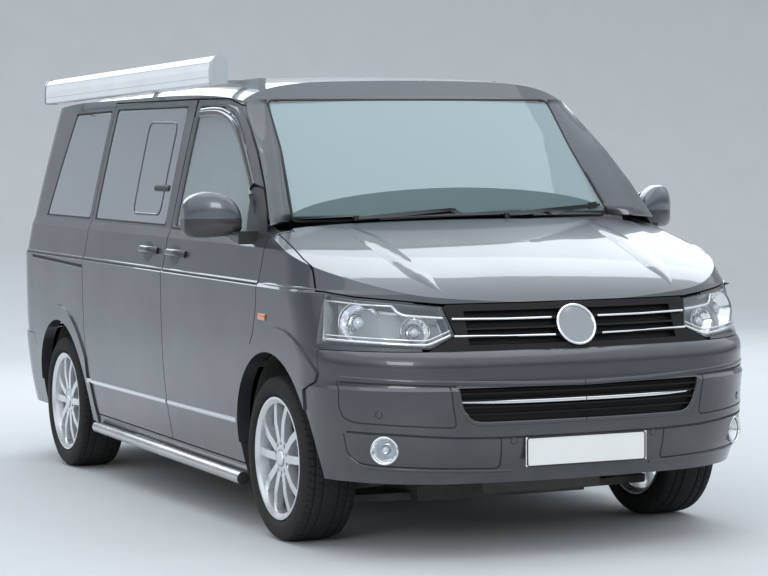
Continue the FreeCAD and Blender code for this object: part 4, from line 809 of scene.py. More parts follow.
# Name, path of the left side, profile, finish, stations along it and how often their normals are evened out.
BUMPER_LINES = (
    ("bumper_crease", [(0.002, 0.703), (0.250, 0.708), (0.550, 0.719), (0.890, 0.731)], bar_profile(0.020, 0.0035),
     paint, 90, 16),
    ("bumper_crease_shade", [(0.520, 0.706), (0.885, 0.718)], flat_profile(0.007), paint_dark, 64, 16),
    ("bumper_inset_seam", [(0.892, 0.722), (0.889, 0.629), (0.878, 0.581), (0.850, 0.566), (0.524, 0.551),
                           (0.548, 0.708)], flat_profile(0.0055), paint_dark, 120, 6),
    ("bumper_lower_seam", [(0.002, 0.508), (0.352, 0.508), (0.512, 0.512), (0.720, 0.525), (0.868, 0.529)],
     flat_profile(0.009), paint_dark, 120, 6),
    ("bumper_fog_panel", [(0.875, 0.522), (0.862, 0.447), (0.833, 0.412), (0.800, 0.404), (0.613, 0.397),
                          (0.347, 0.388), (0.352, 0.505)], flat_profile(0.006), paint_dark, 140, 6),
    ("bumper_fog_lip", [(0.855, 0.432), (0.828, 0.402), (0.800, 0.393), (0.613, 0.386), (0.300, 0.377)],
     bar_profile(0.013, 0.004), paint, 100, 6),
    ("intake_lip", [(0.002, 0.562), (0.430, 0.562), (0.470, 0.572), (0.505, 0.620), (0.522, 0.694)],
     bar_profile(0.016, 0.004), paint, 90, 6))
for side, label in SIDES:
    for name, path, profile, material, steps, calm in BUMPER_LINES:
        laid(f"{name}_{label}", mirrored(path, side), on_bumper, profile, material, "root", steps=steps, calm=calm)

# %% Fog lamps, parking sensors and plate rim
FOG_TURN = math.radians(35)
SENSOR = [(0, 0.0022), (0.009, 0.002), (0.0125, 0.001), (0.0125, -0.003), (0, -0.003)]
FOG_BULB = [(0, 0.014), (0.008, 0.012), (0.013, 0.006), (0.014, -0.008), (0, -0.008)]
for side, label in SIDES:
    fog_way = stood([math.cos(FOG_TURN), side * math.sin(FOG_TURN), 0])
    fog_spot = stand([2.263, 0.765 * side, 0.464])
    turned("fog_ring_" + label, fog_spot, fog_way, ring_profile(0.0500, 0.0055, 0.007), chrome, "root", loop=True)
    turned("fog_bowl_" + label, fog_spot - fog_way * 0.008, fog_way, bowl_profile(0.043, 0.030), chrome, "root")
    turned("fog_bulb_" + label, fog_spot - fog_way * 0.022, fog_way, FOG_BULB, bulb_glass, "root",
           steps=32)
    for row, (y, z) in enumerate(((0.300, 0.495), (0.784, 0.600))):
        spot, way = on_bumper([(y * side, z)])
        turned(f"parking_sensor_{row}_{label}", spot[0], way[0], SENSOR, paint, "root", steps=32)
        turned(f"parking_sensor_ring_{row}_{label}", spot[0], way[0], ring_profile(0.0138, 0.0012, 0.0012),
               paint_dark, "root", steps=32, loop=True)


def plate_rim(name, low, high, drop, body):
    """A thin frame round a blank plate."""
    laid(name, [(-0.254, low), (0.254, low), (0.254, high), (-0.254, high)], drop, bar_profile(0.006, 0.0018),
         black_trim, body, closed=True, radius=0.008, steps=120)


plate_rim("front_plate_rim", 0.395, 0.504, nose("front_plate"), "root")
print("nose trim laid")

# %% [markdown]
# ## Bonnet creases
# Two soft ridges run up the bonnet from the grille to the windscreen's corners. Each is a wide, very low bar
# of body paint, dropped on the bonnet, so that it catches the light along its crest.

# %% Bonnet creases
CREST = [(1.420, 0.553), (1.638, 0.549), (1.914, 0.541), (2.146, 0.519), (2.225, 0.500)]
bonnet_tree = node_tree("bonnet")
t = np.linspace(-1, 1, 15)
swell = np.vstack([np.stack([-0.050 * t, 0.0045 * (1 - t ** 2) ** 1.5 + 0.0002], -1),
                   [[-0.05, -0.003], [0.05, -0.003]]])
for side, label in SIDES:
    laid("bonnet_crease_" + label, [(x, y * side) for x, y in CREST], lambda xy: on_top(xy, bonnet_tree), swell,
         paint, "bonnet", radius=0.1, steps=80, calm=30, angle=80, taper=True)

# %% [markdown]
# ## Window seals
# Every pane is edged with a thin rubber seal. A pane's outline is the convex hull of its solid in the side or
# the rear view, drawn in a little so that the rays meet the pane itself and not the joint round it.

# %% Window seals
def hull(points):
    """Convex outline of 2-D points: the lower chain, then the upper chain, each turning one way."""
    points = np.unique(np.round(points, 4), axis=0)

    def chain(order):
        line = []
        for p in order:
            while len(line) > 1:
                a, b = line[-1] - line[-2], p - line[-1]
                if a[0] * b[1] - a[1] * b[0] > 0:
                    break
                line.pop()
            line.append(p)
        return line[:-1]

    return np.array(chain(points) + chain(points[::-1]))


def straight_sides(outline, least=0.012):
    """The hull's corners, without the crowd of points in its rounded corners."""
    keep = [outline[0]]
    for p in outline[1:]:
        if np.linalg.norm(p - keep[-1]) > least:
            keep.append(p)
    return np.array(keep)


def pane_outline(node, axes, side=0, inset=0.004):
    """A pane's outline in two of its axes, drawn in by inset."""
    corners = node_points(node)
    if side:
        corners = corners[corners[:, 1] * side > 0]
    line = straight_sides(hull(corners[:, axes]))
    way = line - (line.min(0) + line.max(0)) / 2
    return line - unit(way) * inset


for side, label in SIDES:
    door = "front_door_" + label
    for node, body in (("sliding_door_glass", "root"), ("rear_side_glass", "root"),
                       ("front_door_glass_" + label, door)):
        laid(f"seal_{stem(node)}_{label}", pane_outline(node, [0, 2], side), level(node, side),
             bar_profile(0.012, 0.0022, 0.003), rubber, body, closed=True, radius=0.03, steps=200, calm=12)

# %% [markdown]
# ## The sides
# Along each flank run a crease under the windows, a chrome line low on the doors and, behind the sliding
# door, the slot of its rail. The handles are bars in body colour over pointed recesses. The solid has no
# hollow there, so each recess is a thin dark oval of painted shade laid on the door. A door's own trim rides
# on that door, so that it opens with it.

# %% Flank finishes and shapes
smoke = glass_finish("smoked_shield", (0.020, 0.021, 0.023), 0.93, roughness=0.08).material
# The recess finish is painted shade: a darker body paint that stands in for the shade inside each handle's hollow.
painted_recess_shade = plain("painted_recess_shade", (0.034, 0.037, 0.042), 0.42, 800, 0.03, 0.2, metallic=0.35, Coat_Weight=0.5)
orange_lens = plain("orange_lens", (0.62, 0.16, 0.02), 0.15, 140, 0.1, 0.15, 0.03, Coat_Weight=1.0)


def crease_profile(up, wide=0.020, high=0.0035):
    """A ledge: it rises slowly from above and drops off sharply below; up is the way of the profile's +."""
    return np.array([[up * wide, -0.001], [up * wide * 0.4, high * 0.75], [0.0, high], [-up * 0.003, high * 0.6],
                     [-up * 0.004, -0.002]])


def recess_shade_sheet(name, side, start, end, body, middle=1.136, top=1.176, low=1.082):
    """A pointed oval of painted shade, laid on the door where the handle's recess is: both its edges leave the middle
    height by sin(pi t) ^ 0.85.
    """
    rows, columns = 40, 9
    t = np.linspace(0, 1, rows)
    bulge = np.sin(math.pi * t) ** 0.85
    along = start + (end - start) * t
    flat = ruled(*(np.stack([along, middle + (edge - middle) * bulge], -1) for edge in (low, top)), columns)
    found, normals = (a.reshape(rows, columns, 3) for a in on_side(flat.reshape(-1, 2), side))
    shell_piece(name, found + normals * 0.0009, found - normals * 0.0020, painted_recess_shade, body, 60)


def handle(name, side, start, end, z, body):
    """A bar whose distance from the door is 2 mm + 30 mm x (1 - s^4), s from -1 to 1 along it."""
    s = np.linspace(-1, 1, 48)
    found, normals = on_side(np.stack([start + (end - start) * (s + 1) / 2, np.full(len(s), z)], -1), side)
    normals = steadied(normals, 30)
    path = found + normals * (0.030 * (1 - np.abs(s) ** 4) + 0.002)[:, None]
    t = full_turn(16)
    profile = np.stack([0.0155 * signed_power(np.cos(t), 0.8), 0.0085 * np.sin(t)], -1)
    swept(name, path, normals, profile, paint, body, angle=60)


# %% Flank trim
CREASE_AT, SHADE_AT = 1.058, 1.0525


def chrome_at(x):
    """The chrome line rises 8.8 mm for each metre forwards."""
    return x, 0.4505 + 0.0088 * (x + 1.0)


for side, label in SIDES:
    door = "front_door_" + label
    crease, shade = crease_profile(side), flat_profile(0.006)
    chrome_bar = bar_profile(0.023, 0.0055)
    for name, path, profile, material, body, steps, calm in (
            ("chrome_line_front_door", [chrome_at(0.204), chrome_at(1.096)], chrome_bar, chrome, door, 40, 12),
            ("chrome_line_sliding_door", [chrome_at(-1.018), chrome_at(0.180)], chrome_bar, chrome, "root", 40, 12),
            ("waist_crease_front_door", [(0.198, CREASE_AT), (1.396, CREASE_AT)], crease, paint, door, 60, 16),
            ("waist_shade_front_door", [(0.198, SHADE_AT), (1.396, SHADE_AT)], shade, paint_dark, door, 60, 16),
            ("waist_crease_sliding_door", [(-1.024, CREASE_AT), (0.180, CREASE_AT)], crease, paint, "root", 60, 16),
            ("waist_shade_sliding_door", [(-1.024, SHADE_AT), (0.180, SHADE_AT)], shade, paint_dark, "root", 60, 16),
            ("waist_crease_wing", [(1.416, CREASE_AT), (1.950, CREASE_AT)], crease, paint, "root", 60, 16),
            ("waist_crease_quarter", [(-2.270, CREASE_AT), (-1.050, CREASE_AT)], crease, paint, "root", 80, 16),
            ("waist_shade_quarter", [(-2.270, SHADE_AT), (-1.050, SHADE_AT)], shade, paint_dark, "root", 80, 16),
            ("rail_slot", [(-1.932, 1.036), (-1.040, 1.019)], flat_profile(0.015, 0.001), paint_dark, "root", 60, 6),
            ("rail_slot_lip", [(-1.940, 1.0265), (-1.036, 1.0095)], bar_profile(0.006, 0.002), paint, "root", 60, 6),
            ("repeater", [(1.430, 0.925), (1.508, 0.925)], bar_profile(0.026, 0.006), orange_lens, "root", 16, 6)):
        laid(f"{name}_{label}", path, flank(side), profile, material, body, steps=steps, calm=calm,
             taper=name == "waist_crease_wing")
    # Painted shade: a dark oval on the door where each handle's recess is.
    recess_shade_sheet("recess_shade_sliding_" + label, side, -0.130, 0.035, "root")
    recess_shade_sheet("recess_shade_front_" + label, side, 0.252, 0.410, door)
    handle("handle_sliding_" + label, side, -0.140, 0.082, 1.137, "root")
    handle("handle_front_" + label, side, 0.243, 0.468, 1.136, door)

# %% Covers along the side glass
COVER_ROWS, COVER_COLUMNS = 50, 12
FLANK_HALF, FLANK_TOP, FLANK_LEAN = 0.763, 1.806, 0.2366


def ruled_side(name, near, far, drop, material, body, lift):
    """A thin cover ruled between two lines of the side view, dropped and lifted off the surface by lift."""
    flat = spread(near, far, COVER_ROWS, COVER_COLUMNS)
    found, normals = (a.reshape(COVER_ROWS, COVER_COLUMNS, 3) for a in drop(flat.reshape(-1, 2)))
    way = steadied(unit(normals.mean(1)), 20)[:, None, :]
    rise = lift * np.sin(np.linspace(0.12, math.pi - 0.12, COVER_COLUMNS)) ** 0.5
    shell_piece(name, found + way * rise[None, :, None], found - way * 0.003, material, body)


def leaning(side):
    """The flank above the belt is a plane: half width = 0.763 + 0.2366 x (1.806 - height)."""
    def drop(xz):
        xz = np.asarray(xz, float)
        wide = FLANK_HALF + FLANK_LEAN * (FLANK_TOP - xz[:, 1])
        found = stand(np.stack([xz[:, 0], side * wide, xz[:, 1]], -1))
        return found, np.tile(unit(stood([0, side, FLANK_LEAN])), (len(xz), 1))
    return drop


# %% Windscreen pillars
PILLAR_DOOR = [(1.404, 1.292), (1.264, 1.442), (1.099, 1.586), (0.929, 1.704), (0.802, 1.795)]
PILLAR_GLASS = [(0.742, 1.300), (0.690, 1.593), (0.676, 1.808)]


def pillar(side, label):
    """Point = chord between glass edge and door edge + outward way x the larger of a 14 mm bulge and the solid."""
    rows, columns = 60, 18
    tree = node_tree("windscreen", "body_shell")
    outer, _ = leaning(side)(resample(PILLAR_DOOR, rows))
    inner, _ = nose("windscreen")(resample(mirrored(PILLAR_GLASS, side), rows))
    share = np.linspace(0, 1, columns)
    base = ruled(inner, outer, columns)
    ways = unit(stood(np.stack([1 - share, side * share, np.full(columns, 0.25)], -1)))
    proud = np.zeros((rows, columns))
    for k in range(columns):
        hit, _ = dropped(base[:, k] + ways[k] * 0.3, -ways[k], tree)
        rise = (hit - base[:, k]) @ ways[k]
        proud[:, k] = np.where(np.abs(rise) < 0.05, rise, 0.0)
    # The highest of three neighbours along the pillar, then an even spread, so that the cover has no dents.
    for _ in range(3):
        proud[1:-1] = np.maximum(np.maximum(proud[:-2], proud[1:-1]), proud[2:])
    for _ in range(8):
        proud[1:-1] = (proud[:-2] + 2 * proud[1:-1] + proud[2:]) / 4
        proud[:, 1:-1] = (proud[:, :-2] + 2 * proud[:, 1:-1] + proud[:, 2:]) / 4
    lift = np.maximum(proud + 0.0025, 0.0015 + 0.014 * np.sin(math.pi * share)[None, :] ** 0.8)
    shell_piece("screen_pillar_" + label, base + ways[None] * lift[..., None], base - ways[None] * 0.004, paint,
                "root")


for side, label in SIDES:
    pillar(side, label)
screen_line = [(-0.738, 1.298), (0.738, 1.298), (0.687, 1.593), (0.673, 1.806), (-0.673, 1.806), (-0.687, 1.593)]
laid("screen_seal", screen_line, nose("windscreen"), bar_profile(0.011, 0.003, 0.003), rubber, "root", closed=True,
     radius=0.03, steps=260, calm=12)

# %% Side window trim
DEFLECTOR = [(0.262, 1.757), (0.401, 1.762), (0.534, 1.757), (0.681, 1.726), (0.800, 1.672), (0.910, 1.592),
             (1.021, 1.509), (1.108, 1.440)]
FRAME_LOW = [(0.470, 1.783), (0.560, 1.781), (0.690, 1.748), (0.815, 1.694), (0.925, 1.611), (1.035, 1.528),
             (1.125, 1.455)]
FRAME_HIGH = [(0.480, 1.803), (0.600, 1.803), (0.735, 1.785), (0.845, 1.738), (0.950, 1.667), (1.095, 1.566),
              (1.240, 1.442)]
SAIL_BACK = [(1.150, 1.236), (1.120, 1.330), (1.098, 1.440)]
SAIL_FRONT = [(1.398, 1.236), (1.325, 1.350), (1.240, 1.436)]
for side, label in SIDES:
    pane = flank(side, "sliding_door_glass")
    laid("vent_frame_" + label, [(-0.432, 1.720), (-0.024, 1.716), (-0.012, 1.296), (-0.408, 1.294)], pane,
         bar_profile(0.014, 0.003), gloss_black, "root", closed=True, radius=0.05, steps=180)
    laid("vent_latch_" + label, [(-0.150, 1.418), (0.046, 1.418)], pane, bar_profile(0.030, 0.007), black_trim,
         "root", steps=24)
    door = "front_door_" + label
    frame_side = flank(side, door, "front_door_glass_" + label)
    laid("pillar_cover_" + label, [(0.2275, 1.262), (0.2275, 1.738)], frame_side, flat_profile(0.058, 0.0012),
         gloss_black, door, steps=40, calm=20)
    laid("deflector_" + label, DEFLECTOR, leaning(side), bar_profile(0.044, 0.011, 0.004, 10), smoke, door,
         radius=0.05, steps=90, calm=20)
    ruled_side("window_frame_" + label, FRAME_LOW, FRAME_HIGH, leaning(side), paint, door, 0.0035)
    ruled_side("window_sail_" + label, SAIL_BACK, SAIL_FRONT, leaning(side), black_trim, door, 0.005)
    laid("belt_strip_" + label, [(0.215, 1.247), (1.286, 1.232)], frame_side, bar_profile(0.018, 0.005), black_trim,
         door, steps=60, calm=20)

# %% [markdown]
# ## Mirrors
# The shell is grey above and black below. The glass behind is a rounded pane, bright as a mirror.

# %% Mirror finishes
MIRROR_GREY, MIRROR_METAL, MIRROR_ROUGH = (0.10, 0.11, 0.125), 0.5, 0.32


def mirror_finish():
    """Body paint above the split, black plastic below it: the mask is the height alone."""
    finish = Finish("mirror_shell", MIRROR_GREY, metallic=MIRROR_METAL, roughness=MIRROR_ROUGH, Coat_Weight=0.8)
    edge = finish.map(finish.axis("Z"), 1.2925, 1.2945)
    finish.set("Base Color", finish.mixed(edge, (0.016, 0.016, 0.017), MIRROR_GREY))
    finish.set("Metallic", finish.map(edge, 0.0, 1.0, 0.0, MIRROR_METAL))
    finish.set("Roughness", finish.map(edge, 0.0, 1.0, 0.46, MIRROR_ROUGH))
    grain = finish.group(GRAIN, Fine=900.0, Broad=6.0)
    return finish.bump(grain.outputs["Height"], 0.08, 0.0004).material


mirror_paint = mirror_finish()
silvered = plain("silvered_glass", (0.80, 0.83, 0.85), 0.03, 60, 0.005, 0.02, 0.01, metallic=1.0)


# %% Mirror glass
def mirror_glass(side, label):
    """Rings of a squared circle, each share of its size and lifted off the shell's back, from rim to middle."""
    node = "mirror_" + label
    dress(node, mirror_paint)
    low, high = (np.array(v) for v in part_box(node))
    middle = np.array([(low[1] + high[1]) / 2 + side * 0.036, (low[2] + high[2]) / 2 + 0.010])
    u, tree, rings = full_turn(64), node_tree(node), []
    around = np.stack([signed_power(np.cos(u), 0.5), signed_power(np.sin(u), 0.5)], -1)
    for share, lift in ((1.0, -0.003), (1.0, 0.0008), (0.97, 0.0016), (0.6, 0.0016), (0.3, 0.0016), (0.0, 0.0016)):
        yz = middle + around * [0.068 * share, 0.070 * share]
        found, _ = dropped(np.stack([np.zeros(len(yz)), yz[:, 0], yz[:, 1]], -1), (1, 0, 0), tree)
        found[:, 0] = np.median(found[:, 0]) - lift
        rings.append(found)
    grid_piece("mirror_glass_" + label, np.stack(rings, 1), silvered, "front_door_" + label, wrap_rows=True, angle=40)


for side, label in SIDES:
    mirror_glass(side, label)

# %% [markdown]
# ## Tyres
# A tyre is one profile turned about the axle, with grooves cut into the tread by lowering the radius: three
# grooves run round it, and slanted cuts cross the ribs. The CAD tyre stays in the model for collision,
# hidden.

# %% Tyres with tread
tyre_black = plain("tyre_black", (0.012, 0.012, 0.013), 0.80, 420, 0.25, 0.22, broad=5.0, Specular_IOR_Level=0.3,
                   dust=(0.75, 0.22, (0.10, 0.095, 0.088)))
TYRE_HALF = np.array([
    [0.0, 0.3325], [0.050, 0.3322], [0.084, 0.3305], [0.100, 0.3262], [0.1085, 0.3190], [0.1130, 0.3080],
    [0.1158, 0.2960], [0.1172, 0.2850], [0.1168, 0.2740], [0.1140, 0.2640], [0.1090, 0.2560], [0.1020, 0.2505],
    [0.0940, 0.2480], [0.0700, 0.2476], [0.0, 0.2476]])


def tyre(end, label, side):
    """Radius = the section's radius, less 7 mm in the grooves and up to 4.5 mm in the slanted cuts."""
    around = 480
    tread = np.linspace(-0.100, 0.100, 61)
    top = np.interp(np.abs(tread), TYRE_HALF[:4, 0], TYRE_HALF[:4, 1])
    wall = resample(TYRE_HALF[3:], 26)[1:]
    section = np.vstack([np.stack([tread, top], -1), wall, (wall[::-1] * [-1, 1])[1:]])
    t = full_turn(around)[:, None]
    y = section[None, :, 0]
    groove = np.exp(-((np.abs(y) - 0.034) / 0.0036) ** 4) + np.exp(-((np.abs(y) - 0.070) / 0.0034) ** 4)
    cut = np.clip((np.sin(70 * t + 55 * y) - 0.80) / 0.12, 0, 1) * (np.abs(y) > 0.036) * (np.abs(y) < 0.104)
    fine = np.clip((np.sin(140 * t - 70 * np.abs(y)) - 0.86) / 0.1, 0, 1) * (np.abs(y) < 0.030)
    lower = np.clip(0.007 * groove + 0.0045 * cut + 0.003 * fine, 0, 0.007)
    lower[:, len(tread):] = 0
    radius = section[None, :, 1] - lower
    ribs = 0.0012 * np.exp(-((section[:, 1] - 0.3035) / 0.0016) ** 2) * (np.abs(section[:, 0]) > 0.105)
    out = y + np.sign(y) * ribs[None, :]
    grid = np.stack([AXLE_AT[end] + radius * np.cos(t), side * TRACK + np.repeat(out, around, 0),
                     AXLE_HEIGHT + radius * np.sin(t)], -1)
    piece = grid_piece(f"tread_{end}_{label}", grid, tyre_black, f"wheel_{end}_{label}", wrap_rows=True,
                       wrap_columns=True, angle=40)
    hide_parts(f"tyre_{end}_{label}")


# %% Wheel caps and bolts
CAP = [(0, 0.0065), (0.020, 0.0062), (0.0285, 0.0050), (0.0305, 0.0026), (0.0320, -0.003), (0, -0.003)]
BOLT = [(0, 0.010), (0.0070, 0.010), (0.0085, 0.0085), (0.0088, -0.004), (0, -0.004)]
BOLTS, BOLT_CIRCLE, BOLT_SUNK = 5, 0.060, 0.010


def wheel_fittings(end, label, side):
    """A plain centre cap and five bolt heads, set at the depth where a ray along the axle meets the hub."""
    wheel, body, way = f"{end}_{label}", f"wheel_{end}_{label}", (0, side, 0)
    start = [AXLE_AT[end] + 0.020, side * FAR_SIDE, AXLE_HEIGHT]
    face, _ = dropped([start], (0, -side, 0), node_tree("rim_" + wheel))
    hub = np.array([AXLE_AT[end], face[0, 1], AXLE_HEIGHT])
    turned("wheel_cap_" + wheel, hub, way, CAP, alloy, body, steps=56)
    turned("wheel_cap_ring_" + wheel, hub, way, ring_profile(0.0345, 0.0022, 0.0024), dark_chrome, body, steps=56,
           loop=True)
    for k in range(BOLTS):
        angle = math.pi / 2 + 2 * math.pi * k / BOLTS
        seat = hub + [BOLT_CIRCLE * math.cos(angle), -side * BOLT_SUNK, BOLT_CIRCLE * math.sin(angle)]
        turned(f"wheel_bolt_{k}_{wheel}", seat, way, BOLT, dark_chrome, body, steps=6, angle=20)


for end in ("front", "rear"):
    for side, label in SIDES:
        tyre(end, label, side)
        wheel_fittings(end, label, side)
print("wheels finished")

# %% [markdown]
# ## Seats
# The seats are foam under cloth: crowned pads whose sides pull in between the corners, with sewn channels.
# Each pad is a box rounded by powers of sine and cosine, pulled in along its seams.

# %% Seat cloth
def seat_cloth(name, color, weave=250.0):
    """A woven cloth: two crossing waves for the weave, a slow cloud for wear, and sheen along the edges."""
    finish = Finish(name, color, roughness=0.86, Sheen_Weight=0.35, Sheen_Roughness=0.5)
    waves = [finish.placed("TexWave", Scale=weave, Distortion=0.6) for _ in "XY"]
    for node, way in zip(waves, "XY"):
        node.bands_direction = way
    woven = finish.math("MULTIPLY", *(node.outputs["Fac"] for node in waves))
    grain = finish.group(GRAIN, Fine=700.0, Broad=9.0)
    dark, light = (tuple(c * share for c in color) for share in (0.7, 1.25))
    finish.set("Base Color", finish.mixed(finish.cloud(grain), dark, light))
    finish.set("Roughness", finish.cloud(grain, 0.80, 0.92))
    return finish.bump(finish.math("ADD", woven, grain.outputs["Height"]), 0.45, 0.0008).material


seat_grey = seat_cloth("seat_grey", (0.075, 0.078, 0.085))


# %% Pads and bases
def squared_ball(rows, columns, exponent):
    """A ball from -1 to 1 with its sines and cosines raised to exponent: the lower that is, the boxier."""
    u = full_turn(rows)[:, None]
    v = np.linspace(-math.pi / 2, math.pi / 2, columns)[None, :]
    round_v = signed_power(np.cos(v), exponent)
    return (round_v * signed_power(np.cos(u), exponent), round_v * signed_power(np.sin(u), exponent),
            signed_power(np.sin(v), exponent) * np.ones_like(u))


def pad(name, centre, half, lean, node, channels=()):
    """Point = half size x squared ball, crowned, less the sewn channels; then leant."""
    x, y, z = squared_ball(96, 64, 0.32)
    crown = 1 + 0.10 * (1 - x ** 2) * (1 - y ** 2) * (z > 0) - 0.04
    pull = 1 - 0.035 * (1 - z ** 2) * (x ** 2 + y ** 2) / 2
    seam = sum(np.exp(-((y - c) / 0.035) ** 2) for c in channels) * 0.055 * (z > 0.3)
    points = np.stack([x * half[0] * pull, y * half[1] * pull, (z * crown - seam) * half[2] * 0.93], -1)
    turn = np.array([[math.cos(lean), 0, math.sin(lean)], [0, 1, 0], [-math.sin(lean), 0, math.cos(lean)]])
    grid = stand(points @ turn.T + np.asarray(centre))
    piece = grid_piece(name, grid, seat_grey, "root", wrap_rows=True, angle=70)
    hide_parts(node)


def seat_base(name, centre, half, node):
    """A moulded base: half size x a squared ball whose exponent is so low that only the edges are round."""
    grid = stand(np.stack(squared_ball(64, 33, 0.12), -1) * np.asarray(half) + np.asarray(centre))
    piece = grid_piece(name, grid, cabin_plastic, "root", wrap_rows=True, angle=50)
    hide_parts(node)


# %% Front seats and bench
SEATS_AT, BENCH_AT, BENCH_BACK, BENCH_LOWER = 0.419, -0.114, -1.252, 0.031
CUSHION_LEAN, BACK_LEAN, HEAD_LEAN = -0.06, -1.36, -1.42
for side, label in SIDES:
    y, seams = SEATS_AT * side, (-0.55, 0.55)
    pad("seat_cushion_" + label, (0.534, y, 0.775), (0.250, 0.250, 0.080), CUSHION_LEAN, "front_seats", seams)
    pad("seat_back_" + label, (0.300, y, 1.120), (0.300, 0.240, 0.068), BACK_LEAN, "front_seats", seams)
    pad("seat_head_" + label, (0.205, y, 1.500), (0.085, 0.125, 0.050), HEAD_LEAN, "front_seats")
    seat_base("seat_base_" + label, (0.520, y, 0.560), (0.210, 0.205, 0.135), "front_seats")
    pad("bench_head_" + label, (0.215 + BENCH_BACK, BENCH_AT + 0.28 * side, 1.438), (0.080, 0.125, 0.050), HEAD_LEAN,
        "rear_bench")
seams = (-0.33, 0.33)
pad("bench_cushion", (0.534 + BENCH_BACK, BENCH_AT, 0.775), (0.250, 0.530, 0.080), CUSHION_LEAN, "rear_bench", seams)
pad("bench_back", (0.300 + BENCH_BACK, BENCH_AT, 1.120 - BENCH_LOWER), (0.270, 0.525, 0.068), BACK_LEAN,
    "rear_bench", seams)
seat_base("bench_base", (0.520 + BENCH_BACK, BENCH_AT, 0.560), (0.210, 0.480, 0.135), "rear_bench")
print("pads made")

# %% [markdown]
# ## Awning
# The awning case has grey end caps and two fine lines along its face. The caps are part of the same solid, so
# their colour is a mask by place.

# %% Awning
def awning_finish():
    """White along the case, grey at both ends: the mask is the distance from the case's middle."""
    finish = Finish("awning_case_paint", (0.66, 0.69, 0.71), roughness=0.36, Coat_Weight=0.3)
    away = finish.math("ABSOLUTE", finish.math("SUBTRACT", finish.axis("X"), -0.533))
    cap = finish.map(away, 1.272, 1.2735)
    joint = finish.math("MULTIPLY", finish.map(away, 1.2705, 1.2715), finish.map(away, 1.275, 1.274))
    grain = finish.group(GRAIN, Fine=700.0, Broad=4.0)
    base = finish.mixed(finish.cloud(grain), (0.72, 0.75, 0.77), (0.78, 0.81, 0.83))
    capped = finish.mixed(cap, base, (0.42, 0.45, 0.47))
    finish.set("Base Color", finish.mixed(joint, capped, (0.05, 0.05, 0.05)))
    finish.set("Roughness", finish.map(cap, 0.0, 1.0, 0.34, 0.5))
    return finish.bump(grain.outputs["Height"], 0.05, 0.0004).material


dress("awning_case", awning_finish())
for height, z in (("high", 1.955), ("low", 1.893)):
    laid("awning_line_" + height, [(-1.800, z), (0.735, z)], level("awning_case", -1), flat_profile(0.0035, 0.0005),
         awning_grey, "root", steps=80, calm=20)

# %% [markdown]
# ## The back
# On the tailgate sit a handle bar over the plate, a wiper, and a high brake light under the roof edge. The
# rear lamps are parted by a pale band, and the bumper has a scuff strip and two reflectors.

# %% Tail lamps
def tail_lamp_finish():
    """Red with a pale band and thin dark joints, by height."""
    finish = Finish("tail_lamp_cover", (0.45, 0.014, 0.016), roughness=0.12, Coat_Weight=1.0)
    z = finish.axis("Z")
    band = finish.math("MULTIPLY", finish.map(z, 0.893, 0.895), finish.map(z, 0.957, 0.955))
    edges = finish.math("MAXIMUM", *(finish.math("COMPARE", z, joint, 0.0018) for joint in (0.892, 0.958)))
    ribs = finish.placed("TexWave", Scale=60.0)
    ribs.bands_direction = "Y"
    red = finish.mixed(ribs.outputs["Fac"], (0.30, 0.006, 0.008), (0.55, 0.022, 0.024))
    pale = finish.mixed(ribs.outputs["Fac"], (0.55, 0.50, 0.48), (0.74, 0.72, 0.70))
    finish.set("Base Color", finish.mixed(edges, finish.mixed(band, red, pale), (0.02, 0.004, 0.004)))
    finish.set("Roughness", finish.map(ribs.outputs["Fac"], 0.0, 1.0, 0.08, 0.16))
    return finish.bump(ribs.outputs["Fac"], 0.08, 0.001).material


dress("tail_lamps", tail_lamp_finish())

# %% Tailgate and rear bumper
on_gate = nose("tailgate", "tailgate_glass", back=True)
on_tail = nose("rear_bumper", "body_shell", back=True)
for name, path, profile, material in (
        ("gate_handle", [(-0.330, 0.945), (0.330, 0.945)], bar_profile(0.044, 0.012), chrome),
        ("gate_handle_shade", [(-0.335, 0.917), (0.335, 0.917)], flat_profile(0.016, 0.001), paint_dark),
        ("high_brake_light", [(-0.180, 1.806), (0.180, 1.806)], bar_profile(0.022, 0.006), lens_red),
        ("rear_wiper_arm", [(0.010, 1.330), (-0.100, 1.372), (-0.300, 1.408)], bar_profile(0.016, 0.011), black_trim),
        ("rear_wiper_blade", [(-0.120, 1.368), (-0.480, 1.432)], bar_profile(0.010, 0.008), rubber),
        ("gate_crease", [(-0.760, 1.245), (0.760, 1.245)], crease_profile(-1), paint)):
    laid(name, path, on_gate, profile, material, "tailgate", calm=20)
laid("gate_glass_seal", pane_outline("tailgate_glass", [1, 2], inset=0.006), level("tailgate_glass"),
     bar_profile(0.014, 0.002, 0.003), rubber, "tailgate", closed=True, radius=0.04, steps=220, calm=12)
spot, way = on_gate([(0.010, 1.330)])
turned("rear_wiper_pivot", spot[0], way[0], [(0, 0.020), (0.014, 0.018), (0.020, 0.010), (0.022, -0.003),
                                             (0, -0.003)], black_trim, "tailgate", steps=40)
for side, label in SIDES:
    laid("rear_reflector_" + label, mirrored([(0.560, 0.420), (0.760, 0.424)], side), on_tail,
         bar_profile(0.034, 0.005), lens_red, "root", calm=20)
laid("rear_bumper_step", [(-0.700, 0.606), (0.700, 0.606)], on_tail, bar_profile(0.018, 0.004), black_trim, "root",
     calm=20, steps=90)
laid("rear_bumper_seam", [(-0.860, 0.520), (0.860, 0.520)], on_tail, flat_profile(0.006), paint_dark, "root",
     calm=12, steps=120)
plate_rim("rear_plate_rim", 0.819, 0.918, level("rear_plate"), "tailgate")

# %% [markdown]
# ## Stage, light and camera
# The floor is pale and curls up into a pale backdrop. One large soft lamp hangs over the van, a wide one high
# behind it gives the bonnet its shine, and a small one stands at the front right. The world is a dome that
# brightens upwards. The camera stands where the photograph was taken from.

# %% Stage
CURL_AT, CURL_RADIUS, FLOOR_END, WALL_TOP, STAGE_HALF = -9.0, 5.0, 14.0, 14.0, 30.0


